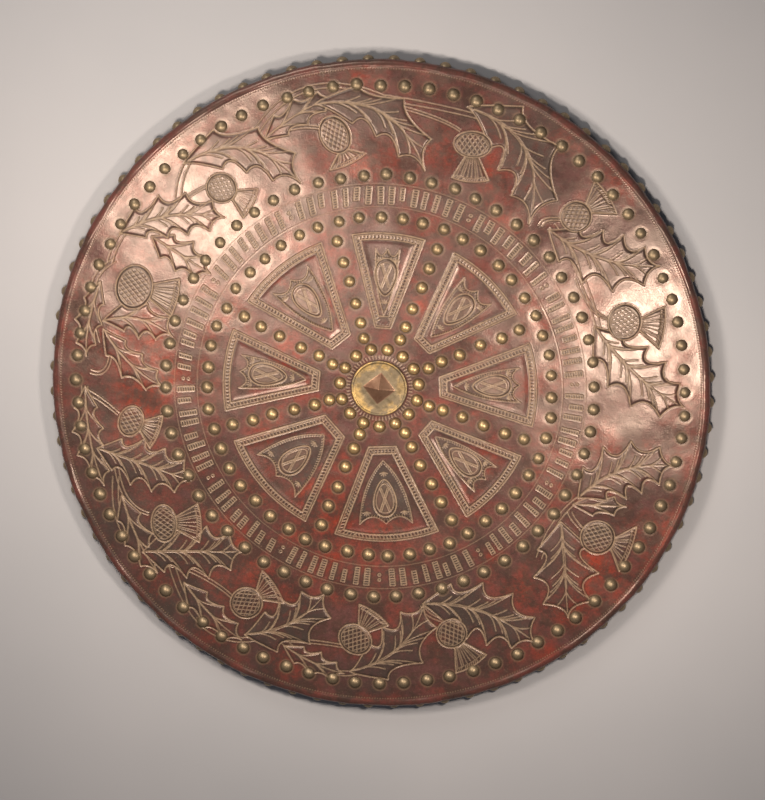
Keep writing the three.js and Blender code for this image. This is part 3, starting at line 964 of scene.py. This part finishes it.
def buildRim():
    turn = turns(rim["sides"])
    radii, heights = (np.array(column)[:, None] for column in zip(*rim["profile"]))
    full = smoothStep((radii - 251.5) / 2) * smoothStep(heights / 4)
    wobble = 0.22 * np.sin(turn * 23 + 1) + 0.14 * np.sin(turn * 51) + 0.1 * np.sin(turn * 97 + 2)
    sunken = np.cos(turn * nails["rimCount"] - math.pi) ** 8 * 0.35  # the leather gives under each nail
    radii = radii + full * (wobble - sunken * smoothStep(1 - np.abs(heights - 7) / 6))
    lapEdge = np.sin(turn * 9) * 0.5 + np.sin(turn * 31 + 1) * 0.3 + np.sin(turn * 67) * 0.2
    radii = radii + rim["lapWander"] * lapEdge * smoothStep((240 - radii) / 12)
    heights = np.maximum(heights + domeAt(radii) * (heights > 0), 0) + 0 * radii
    tucked = radii[-1] - 0.9  # the cut edge stands up to the hide
    radii = np.concatenate([radii, tucked[None]])
    heights = np.concatenate([heights, (domeAt(tucked) + 0.15)[None]])
    points, faces = lathe(radii, heights, rim["sides"])
    return makeMesh("rolled_rim", points, faces)


def buildHide():
    turn = turns(hide["sides"])
    radii = np.linspace(rim["lap"] + 4, 4, hide["rings"])[:, None] + 0 * turn
    x, y = radii * np.sin(turn), radii * np.cos(turn)
    waves = np.sin(x / 17 + 1) * np.sin(y / 23) + 0.5 * np.sin((x + y) / 9) * np.sin((x - y) / 7 + 2)
    heights = domeAt(radii) - 0.05 + hide["wave"] * waves
    points, faces = lathe(radii, heights, hide["sides"], closeCentre=True)
    return makeMesh("hide_back", points, faces)


rimPiece, hidePiece = buildRim(), buildHide()
addAttribute(rimPiece, "dyed", np.full(len(rimPiece.data.vertices), 0.2))
print("rim and back:", len(rimPiece.data.polygons), len(hidePiece.data.polygons))


# Boss plate: a brass disc with a turned-up edge and a low four-sided stud
plate = {
    "radius": 21.7, "thickness": 1.6, "edgeWidth": 0.95, "edgeHeight": 0.5,
    "studHalf": 12.4, "studHeight": 5.4, "studTurn": 7, "sides": 144, "gap": 0.3,
    "studLean": (-1.3, 0.6),  # its point stands a little off the middle
    "edge": [  # from the inside out: inset in edge widths and rise in edge heights
        (1.9, 0.25), (1.4, 0.85), (1.0, 1.0), (0.5, 0.95), (0.15, 0.6), (0, 0), (0, -1.2), (0, -2.2),
    ],
}


def buildPlate():
    turn = turns(plate["sides"])
    local = turn - math.radians(plate["studTurn"])
    square = plate["studHalf"] / (np.abs(np.sin(local)) + np.abs(np.cos(local)))
    base = board["thickness"] + domeAt(0) + plate["gap"]
    top = base + plate["thickness"]
    stud = np.linspace(0.02, 1, 22)[:, None]
    rings = [(stud * square, top + plate["studHeight"] * (1 - stud) ** 1.06 + 0 * turn)]
    flat = np.linspace(0.06, 1, 18)[:, None]
    reach = plate["radius"] - 2 * plate["edgeWidth"]
    radii = square * (1 - flat) + reach * flat
    x, y = radii * np.sin(turn), radii * np.cos(turn)
    dents = 0.16 * np.sin(x / 2.3 + 1) * np.sin(y / 2.9) + 0.1 * np.sin(x / 1.1) * np.sin(y / 1.3 + 2)
    rings.append((radii, top - 0.25 * np.sin(flat * math.pi) + dents * np.sin(flat * math.pi)))
    wear = 0.12 * np.sin(turn * 5 + 1) + 0.06 * np.sin(turn * 17)
    for inset, rise in plate["edge"]:
        radius = plate["radius"] - inset * plate["edgeWidth"] + 0 * turn
        rings.append((radius[None], (top + (rise + wear * (rise > 0.5)) * plate["edgeHeight"])[None]))
    radii = np.concatenate([ring[0] for ring in rings])
    heights = np.maximum(np.concatenate([ring[1] + 0 * turn for ring in rings]), base)
    radii, heights = radii[::-1], heights[::-1]
    points, faces = lathe(radii, heights, plate["sides"], closeCentre=True)
    faces.append(list(range(plate["sides"]))[::-1])
    piece = makeMesh("boss_plate_worked", points, [face[::-1] for face in faces])
    within = np.zeros(len(points))
    within[-1 - len(stud) * plate["sides"] :] = 1
    lean = np.clip((points[:, 2] - top) / plate["studHeight"], 0, 1)[:, None] * within[:, None]
    points[:, :2] += lean * plate["studLean"]
    addAttribute(piece, "stud", within)
    outside = np.hypot(points[:, 0], points[:, 1]) / plate["radius"]
    # painted shade: the bright rubbed patches fade out over the right side of the plate
    shaded = smoothStep((points[:, 0] - 8) / 14) * 0.6
    addAttribute(piece, "rubbed", smoothStep((outside - 0.55) * 4) * (1 - shaded))
    return piece


platePiece = buildPlate()


# Arm bands on the back
bands = {
    "thickness": 3, "corner": 8, "slack": 1.6, "gap": 0.3, "crown": 0.3,
    "facetSag": board["domeRise"] * 0.34**2 / 4,  # how far the solid's flat facets hang down
    "arm": {"name": "arm_band", "node": "arm_strap", "x": -75, "width": 55, "length": 200},
    "grip": {"name": "grip_band", "node": "hand_grip", "x": 85, "width": 32, "length": 150},
    "rows": 90, "across": 16, "stitchInset": 4, "stitchGap": 4.6,
}


def bandSpot(one, along, sideways):
    # The under side of a band at a place along and across it, both from -1 to 1
    y = along * one["length"] / 2
    slack = bands["slack"] * math.cos(math.pi * along / 2) ** 2
    top = domeAt(math.hypot(abs(one["x"]) + one["width"] / 2, y)) - bands["gap"] - bands["facetSag"] - slack
    straight = max(0, abs(y) - (one["length"] / 2 - bands["corner"])) / bands["corner"]
    narrow = bands["corner"] * (1 - math.sqrt(max(0, 1 - straight**2)))
    x = one["x"] + sideways * (one["width"] / 2 - narrow)
    return x, y, top


def buildBand(one):
    flat = np.linspace(-0.97, 0.97, bands["across"])  # across the section: flat middle, rounded edges
    loop = [(sideways, 0.0) for sideways in flat] + [(0.993, 0.16), (1, 0.5), (0.993, 0.84)]
    loop += [(-sideways, 1.0) for sideways in flat] + [(-0.993, 0.84), (-1, 0.5), (-0.993, 0.16)]
    points, faces, count = [], [], len(loop)
    for along in np.sin(np.linspace(-math.pi / 2, math.pi / 2, bands["rows"])) * 0.999:
        for sideways, down in loop:
            x, y, top = bandSpot(one, along, sideways)
            crown = bands["crown"] * (1 - sideways**2) * (down > 0.5)  # worn a little thinner at its edges
            points.append((x, y, top - down * (bands["thickness"] - bands["crown"]) - crown))
    for i in range(bands["rows"] - 1):
        for j in range(count):
            k = (j + 1) % count
            faces.append([i * count + j, (i + 1) * count + j, (i + 1) * count + k, i * count + k])
    faces.append(list(range(count)))
    faces.append([(bands["rows"] - 1) * count + j for j in range(count)][::-1])
    return makeMesh(one["name"], points, [face[::-1] for face in faces])


bothBands = (bands["arm"], bands["grip"])
bandPieces = [buildBand(one) for one in bothBands]
print("plate and bands made")


# Finishes
def leatherFinish():
    finish = Finish("tooled leather", IOR=1.58, Coat_Weight=0.12, Coat_Roughness=0.2, Coat_IOR=1.5)
    finish.shader.inputs["Specular Tint"].default_value = (1, 0.79, 0.7, 1)  # old glaze, brown itself
    cloud = finish.noise(22, 5, 0.6)
    fine = finish.noise(140, 4, 0.65)
    red = finish.ramp(finish.attribute("warm"), -0.35, 1.15)
    base = finish.blend(finish.ramp(cloud, 0.35, 0.68), (0.06, 0.018, 0.014), (0.145, 0.041, 0.03))
    mauve, orange = finish.blend(0.7, base, (0.1, 0.05, 0.05)), finish.blend(0.6, base, (0.33, 0.042, 0.02))
    base = finish.blend(red, mauve, orange)
    stain = finish.noise(48, 6, 0.7, shift=(3, 1, 2))
    base = finish.over(base, (0.045, 0.028, 0.024), stain, 0.46, 0.6, 0.85)
    base = finish.over(base, (0.055, 0.032, 0.024), fine, 0.46, 0.68, 0.7)
    base = finish.over(base, (0.05, 0.025, 0.018), finish.noise(460, 4, 0.7), 0.45, 0.65, 0.5)
    dye = finish.math("MULTIPLY", finish.attribute("dyed"), finish.ramp(fine, 0.25, 0.6, 0.5, 0.95))
    base = finish.blend(dye, base, (0.04, 0.033, 0.03))
    base = finish.blend(finish.attribute("pale"), base, (0.14, 0.105, 0.08))
    rubbed = finish.math("MULTIPLY", finish.attribute("halo"), finish.ramp(fine, 0.3, 0.62, 0.25, 0.7))
    base = finish.blend(rubbed, base, (0.24, 0.16, 0.1))
    # painted shade beside each stroke and close round each nail
    base = finish.blend(finish.math("MULTIPLY", finish.attribute("paintedShade"), 0.85), base, (0.03, 0.021, 0.016))
    rubbing = finish.noise(320, 3, 0.6)
    line = finish.math("MULTIPLY", finish.attribute("worn"), finish.ramp(rubbing, 0.35, 0.6, 0.5, 1.0))
    base = finish.blend(line, base, (0.28, 0.205, 0.135))
    base = finish.over(base, (0.3, 0.2, 0.14), finish.noise(700, 2, 0.6), 0.6, 0.75, 0.2)
    finish.feed("Base Color", base)
    rough = finish.ramp(fine, 0.3, 0.7, 0.16, 0.28)
    rough = finish.math("ADD", rough, finish.ramp(cloud, 0.35, 0.65, 0.0, 0.12))
    for mark, most in (("dyed", 0.07), ("worn", 0.25)):
        rough = finish.math("ADD", rough, finish.math("MULTIPLY", finish.attribute(mark), most))
    finish.feed("Roughness", rough)
    finish.bump((finish.noise(900, 3, 0.6), 0.5, 0.15), (stain, 0.5, 0.4))
    return finish.material


def hideFinish(name, dark, light):
    finish = Finish(name)
    cloud, fine = finish.noise(16, 5, 0.6), finish.noise(260, 4, 0.6)
    base = finish.blend(finish.ramp(cloud, 0.3, 0.7), dark, light)
    finish.feed("Base Color", finish.over(base, dark, fine, 0.5, 0.75, 0.5))
    finish.feed("Roughness", finish.ramp(fine, 0.3, 0.7, 0.55, 0.8))
    finish.bump((fine, 0.5, 0.25), (finish.noise(1200, 2, 0.5), 0.4, 0.1))
    return finish.material


def nailFinish():
    finish = Finish("nail brass", Metallic=0.7)
    cloud, fine = finish.noise(60, 3, 0.5), finish.noise(500, 3, 0.6)
    # lighter at the crown and dark towards the foot of each head: partly tarnish, partly painted shade on the
    # sides that turn away from the light
    worn = finish.ramp(finish.attribute("crown"), 0.05, 0.75)
    worn = finish.math("MULTIPLY", worn, finish.ramp(finish.attribute("tarnish"), 0.0, 1.0, 0.55, 1.0))
    base = finish.blend(worn, (0.17, 0.11, 0.055), (0.6, 0.42, 0.205))
    base = finish.over(base, (0.27, 0.18, 0.09), fine, 0.45, 0.7, 0.5)
    base = finish.over(base, (0.38, 0.265, 0.135), cloud, 0.45, 0.65, 0.4)
    reach = addNode(finish.tree, "ShaderNodeVectorMath", {0: finish.place}, operation="LENGTH")
    dull = finish.ramp(reach.outputs["Value"], 0.04, 0.16, 0.1, 0.85)  # duller away from the boss
    finish.feed("Base Color", finish.blend(dull, base, (0.225, 0.18, 0.125)))
    rough = finish.math("ADD", finish.ramp(fine, 0.3, 0.7, 0.31, 0.44), finish.math("MULTIPLY", dull, 0.12))
    finish.feed("Roughness", rough)
    finish.bump((finish.noise(350, 2, 0.5), 0.25, 0.2),)
    return finish.material


def plateFinish():
    finish = Finish("plate brass", Metallic=0.75)
    cloud, fine = finish.noise(110, 4, 0.6), finish.noise(600, 3, 0.6)
    # the rubbed layer also carries painted shade, weaker on the plate's right side
    bright = finish.math("MULTIPLY", finish.ramp(cloud, 0.44, 0.58), finish.attribute("rubbed"))
    base = finish.blend(bright, (0.165, 0.13, 0.085), (0.38, 0.26, 0.105))
    base = finish.over(base, (0.13, 0.105, 0.06), fine, 0.45, 0.7, 0.6)
    stud = finish.blend(finish.ramp(cloud, 0.35, 0.65), (0.15, 0.08, 0.052), (0.27, 0.165, 0.11))
    finish.feed("Base Color", finish.blend(finish.attribute("stud"), base, stud))
    finish.feed("Roughness", finish.ramp(cloud, 0.35, 0.65, 0.58, 0.42))
    finish.bump((finish.noise(420, 3, 0.6), 0.5, 0.3),)
    return finish.material


finishes = {
    "leather": leatherFinish(),
    "hide": hideFinish("back hide", (0.1, 0.062, 0.04), (0.24, 0.165, 0.11)),
    "strap": hideFinish("strap leather", (0.035, 0.02, 0.013), (0.1, 0.058, 0.036)),
    "thread": hideFinish("waxed thread", (0.2, 0.16, 0.1), (0.34, 0.28, 0.19)),
    "nail": nailFinish(),
    "plate": plateFinish(),
}


# Small repeated shapes, set out by one node tree
def repeatTree():
    tree = bpy.data.node_groups.new("set out on points", "GeometryNodeTree")
    face = tree.interface
    face.new_socket("Geometry", in_out="INPUT", socket_type="NodeSocketGeometry")
    kinds = {"Shape": "Object", "Size Spread": "Float", "Lean": "Float", "Spin": "Float", "Seed": "Int"}
    for name, kind in {**kinds, "Finish": "Material"}.items():
        face.new_socket(name, in_out="INPUT", socket_type="NodeSocket" + kind)
    face.new_socket("Geometry", in_out="OUTPUT", socket_type="NodeSocketGeometry")
    given, made = addNode(tree, "NodeGroupInput").outputs, addNode(tree, "NodeGroupOutput")
    shape = addNode(tree, "GeometryNodeObjectInfo", {"Object": given["Shape"]}).outputs["Geometry"]

    def named(attribute):
        node = addNode(tree, "GeometryNodeInputNamedAttribute", {"Name": attribute}, data_type="FLOAT_VECTOR")
        return node.outputs["Attribute"]

    def chance(low, high, shift):
        seed = addNode(tree, "ShaderNodeMath", {0: given["Seed"], 1: float(shift)}).outputs[0]
        return addNode(tree, "FunctionNodeRandomValue", {2: low, 3: high, "Seed": seed}).outputs[1]

    def negative(value):
        return addNode(tree, "ShaderNodeMath", {0: value, 1: -1.0}, operation="MULTIPLY").outputs[0]

    align = "FunctionNodeAlignRotationToVector"
    toAxis = addNode(tree, align, {"Vector": named("axis")}, axis="Z").outputs[0]
    inputs = {"Rotation": toAxis, "Vector": named("heading")}
    heading = addNode(tree, align, inputs, axis="X", pivot_axis="Z").outputs[0]
    lean = given["Lean"]
    angles = {"X": chance(negative(lean), lean, 1), "Y": chance(negative(lean), lean, 2)}
    tilt = addNode(tree, "ShaderNodeCombineXYZ", {**angles, "Z": chance(0.0, given["Spin"], 3)})
    tilted = addNode(tree, "FunctionNodeEulerToRotation", {"Euler": tilt.outputs[0]}).outputs[0]
    inputs = {"Rotation": heading, "Rotate By": tilted}
    turned = addNode(tree, "FunctionNodeRotateRotation", inputs, rotation_space="LOCAL").outputs[0]
    small, large = (
        addNode(tree, "ShaderNodeMath", {0: 1.0, 1: given["Size Spread"]}, operation=operation).outputs[0]
        for operation in ("SUBTRACT", "ADD")
    )
    sizes = {key: chance(small, large, 4 + i) for i, key in enumerate("XYZ")}
    size = addNode(tree, "ShaderNodeCombineXYZ", sizes)
    spots = addNode(tree, "GeometryNodeInstanceOnPoints", {
        "Points": given["Geometry"], "Instance": shape, "Rotation": turned, "Scale": size.outputs[0]})
    aged = addNode(tree, "GeometryNodeStoreNamedAttribute", {
        "Geometry": spots.outputs[0], "Name": "tarnish", "Value": chance(0.0, 1.0, 9)},
        data_type="FLOAT", domain="INSTANCE")
    whole = addNode(tree, "GeometryNodeRealizeInstances", {"Geometry": aged.outputs[0]}).outputs[0]
    dressed = addNode(tree, "GeometryNodeSetMaterial", {"Geometry": whole, "Material": given["Finish"]})
    tree.links.new(dressed.outputs[0], made.inputs[0])
    return tree


setOut = repeatTree()


def repeated(name, points, axis, shape, finish, seed, spread, lean, spin, heading=(1, 0, 0)):
    # Copies of a shape on points, baked to one plain mesh
    points = np.asarray(points, float)
    mesh = bpy.data.meshes.new(name + " points")
    mesh.from_pydata((points * mm).tolist(), [], [])
    for key, vector in (("axis", axis), ("heading", heading)):
        layer = mesh.attributes.new(key, "FLOAT_VECTOR", "POINT")
        layer.data.foreach_set("vector", np.broadcast_to(vector, points.shape).astype(float).ravel())
    carrier = bpy.data.objects.new(name + " points", mesh)
    bpy.context.scene.collection.objects.link(carrier)
    modifier = carrier.modifiers.new("set out", "NODES")
    modifier.node_group = setOut
    values = {"Shape": shape, "Size Spread": spread, "Lean": math.radians(lean), "Spin": math.radians(spin),
              "Seed": seed, "Finish": finishes[finish]}
    for item in setOut.interface.items_tree:
        if item.item_type == "SOCKET" and item.in_out == "INPUT" and item.name in values:
            modifier[item.identifier] = values[item.name]
    bpy.context.view_layer.update()
    settled = carrier.evaluated_get(bpy.context.evaluated_depsgraph_get())
    piece = bpy.data.objects.new(name, bpy.data.meshes.new_from_object(settled))
    bpy.context.scene.collection.objects.link(piece)
    bpy.data.objects.remove(carrier)
    piece.data.polygons.foreach_set("use_smooth", np.ones(len(piece.data.polygons), bool))
    return piece


def domeShape(name, radius, height, sides, rows, sink):
    # A closed dome nail head with its foot just below the surface that it is driven into
    curve = (radius**2 + height**2) / (2 * height)
    widest = math.asin(radius / curve)
    profile = [(radius, -sink)] + [(curve * math.sin(a), height - curve * (1 - math.cos(a)))
                                   for a in np.linspace(widest, widest * 0.16, rows)]
    radii, heights = (np.repeat(np.array(column)[:, None], sides, 1) for column in zip(*profile))
    points, faces = lathe(radii, heights, sides, closeCentre=True)
    points[-1, 2] = height
    faces.append(list(range(sides))[::-1])
    piece = makeMesh(name, points, [face[::-1] for face in faces])
    addAttribute(piece, "crown", np.clip(points[:, 2] / height, 0, 1))
    return piece


def stapleShape(name, length, thick):
    # The clenched tip of a nail: a short bent wire, pointed at one end
    sides, rows = 6, []
    for share, lift, width in ((0, -0.6, 1), (0.1, 0.2, 1), (0.25, 0.55, 1), (0.7, 0.5, 0.8), (1, 0.1, 0.25)):
        turn = turns(sides)
        rows.append(np.stack([share * length + 0 * turn, np.cos(turn) * thick * width,
                              lift + np.sin(turn) * thick * width], 1))
    points = np.concatenate(rows)
    faces = [list(range(sides))[::-1], list(range(4 * sides, 5 * sides))]
    for i in range(4):
        for j in range(sides):
            a, b = i * sides + j, i * sides + (j + 1) % sides
            faces.append([a, b, b + sides, a + sides])
    piece = makeMesh(name, points, [face[::-1] for face in faces])
    addAttribute(piece, "crown", np.full(len(points), 0.5))
    return piece


def faceAxes(spots):
    slope = 2 * board["domeRise"] / board["domeRadius"] ** 2
    return np.stack([spots[:, 0] * slope, spots[:, 1] * slope, np.ones(len(spots))], 1)


def setNails():
    head = domeShape("head", nails["headRadius"], nails["headHeight"], 14, 5, nails["sink"])
    flatHead = domeShape("flat head", 3.2, 0.7, 12, 3, 0.3)
    tip = stapleShape("tip", 4.2, 0.55)
    down, made = (0, 0, -1), {}
    radius = np.hypot(*faceNails.T)
    seated = np.stack([*faceNails.T, board["thickness"] + domeAt(radius) - nails["seat"]], 1)
    made["face_nails"] = repeated("face_nails", seated, faceAxes(faceNails), head, "nail", 3, 0.035, 3.5, 360)
    plateauHeight = board["thickness"] + domeAt(nails["bossRadius"] - nails["headRadius"]) + plate["gap"]
    ring = np.stack([*bossNails.T, np.full(len(bossNails), plateauHeight)], 1)
    made["boss_nails"] = repeated("boss_nails", ring, faceAxes(bossNails), head, "nail", 5, 0.03, 2.5, 360)
    turn = turns(nails["rimCount"], 0.5)
    out = np.stack([np.sin(turn), np.cos(turn), 0 * turn], 1)
    side = out * (board["radius"] - 0.1) + np.array([0, 0, board["thickness"] / 2 + domeAt(board["radius"])])
    side[:, 2] += rng.uniform(-0.5, 0.5, len(side))
    made["rim_nails"] = repeated("rim_nails", side, out, head, "nail", 8, 0.03, 3, 360)

    clear = radius < rim["lap"] - 8  # the points of the nails show on the hide, but not under the bands
    for one in bothBands:
        beside = np.abs(faceNails[:, 0] - one["x"]) > one["width"] / 2 + 5
        clear &= beside | (np.abs(faceNails[:, 1]) > one["length"] / 2 + 5)
    spots = faceNails[clear]
    back = np.stack([*spots.T, domeAt(np.hypot(*spots.T))], 1)
    made["clenched_tips"] = repeated("clenched_tips", back, down, tip, "nail", 11, 0.15, 4, 360)
    tacks = []
    for one in bothBands:
        for along in (-0.93, 0.93):
            for sideways in (-0.6, 0.6) if one["width"] < 40 else (-0.7, 0, 0.7):
                x, y, top = bandSpot(one, along, sideways)
                tacks.append((x, y, top - bands["thickness"] + 0.05))
    made["band_tacks"] = repeated("band_tacks", tacks, down, flatHead, "nail", 14, 0.04, 2, 360)
    for shape in (head, flatHead, tip):
        bpy.data.objects.remove(shape)
    return made


def sewBands():
    stitch = stapleShape("stitch", 3, 0.35)
    points = []
    for one in bothBands:
        count = int((one["length"] - 2 * bands["corner"]) / bands["stitchGap"])
        inset = 1 - 2 * bands["stitchInset"] / one["width"]
        for sideways in (-inset, inset):
            for along in np.linspace(-0.88, 0.88, count):
                x, y, top = bandSpot(one, along, sideways)
                points.append((x, y, top - bands["thickness"] + 0.25))
    piece = repeated("band_stitches", points, (0, 0, -1), stitch, "thread", 17, 0.06, 2, 0, (0, 1, 0))
    bpy.data.objects.remove(stitch)
    return piece


nailPieces = setNails()
stitches = sewBands()
print("nails set:", {name: len(piece.data.polygons) for name, piece in nailPieces.items()})


# What each piece stands for, and what it rides on
def fit(piece, slot, finish, *nodes):
    if finish:
        piece.data.materials.clear()
        piece.data.materials.append(finishes[finish])
    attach(piece, "root")
    if nodes:
        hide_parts(*nodes)


for piece in (*facePieceList, rimPiece):
    fit(piece, "tooled_leather", "leather", "leather_faced_board")
fit(hidePiece, "strap_leather", "hide", "leather_faced_board")
fit(platePiece, "boss_brass", "plate", "boss_plate")
for piece, one in zip(bandPieces, bothBands):
    fit(piece, "strap_leather", "strap", one["node"])
for name in ("face_nails", "rim_nails"):
    fit(nailPieces[name], "nail_brass", None, "leather_faced_board")
bossNodes = [f"boss_nail_{i + 1:02d}" for i in range(nails["bossCount"])]
fit(nailPieces["boss_nails"], "nail_brass", None, *bossNodes)
for name in ("clenched_tips", "band_tacks"):
    fit(nailPieces[name], "nail_brass", None)
fit(stitches, "strap_leather", None)


# Plain floor and studio light
def floorFinish():
    finish = Finish("floor", Roughness=0.85)
    cloud = finish.noise(3, 4, 0.5)
    base = finish.blend(finish.ramp(cloud, 0.3, 0.7), (0.36, 0.375, 0.41), (0.41, 0.42, 0.455))
    finish.feed("Base Color", base)
    return finish.material


def buildFloor():
    half = 6000
    corners = [(-half, -half, 0), (half, -half, 0), (half, half, 0), (-half, half, 0)]
    floor = makeMesh("floor", corners, [[0, 1, 2, 3]])
    floor.data.materials.append(floorFinish())


def softbox(name, direction, distance, size, power, colour):
    data = bpy.data.lights.new(name, "AREA")
    data.shape = "DISK"
    data.size = size
    data.energy = power
    data.color = colour
    lamp = bpy.data.objects.new(name, data)
    bpy.context.scene.collection.objects.link(lamp)
    towards = Vector(direction).normalized()
    lamp.location = towards * distance
    lamp.rotation_mode = "QUATERNION"
    lamp.rotation_quaternion = towards.to_track_quat("Z", "Y")
    lamp.visible_camera = False


def lightStudio():
    softbox("key", (-0.34, 0.77, 0.53), 1.15, 0.5, 4.3, (1, 0.91, 0.8))
    softbox("left glow", (-0.225, 0.09, 0.455), 0.52, 0.16, 2.4, (1, 0.84, 0.69))
    softbox("middle glow", (-0.11, 0.03, 0.476), 0.49, 0.2, 0.42, (1, 0.88, 0.76))
    softbox("right glow", (0.215, -0.036, 0.458), 0.51, 0.1, 2.1, (1, 0.84, 0.69))
    world = bpy.data.worlds.new("studio")
    world.use_nodes = True
    world.node_tree.nodes["Background"].inputs["Color"].default_value = (0.68, 0.68, 0.74, 1)
    world.node_tree.nodes["Background"].inputs["Strength"].default_value = 0.14
    bpy.context.scene.world = world


buildFloor()
lightStudio()
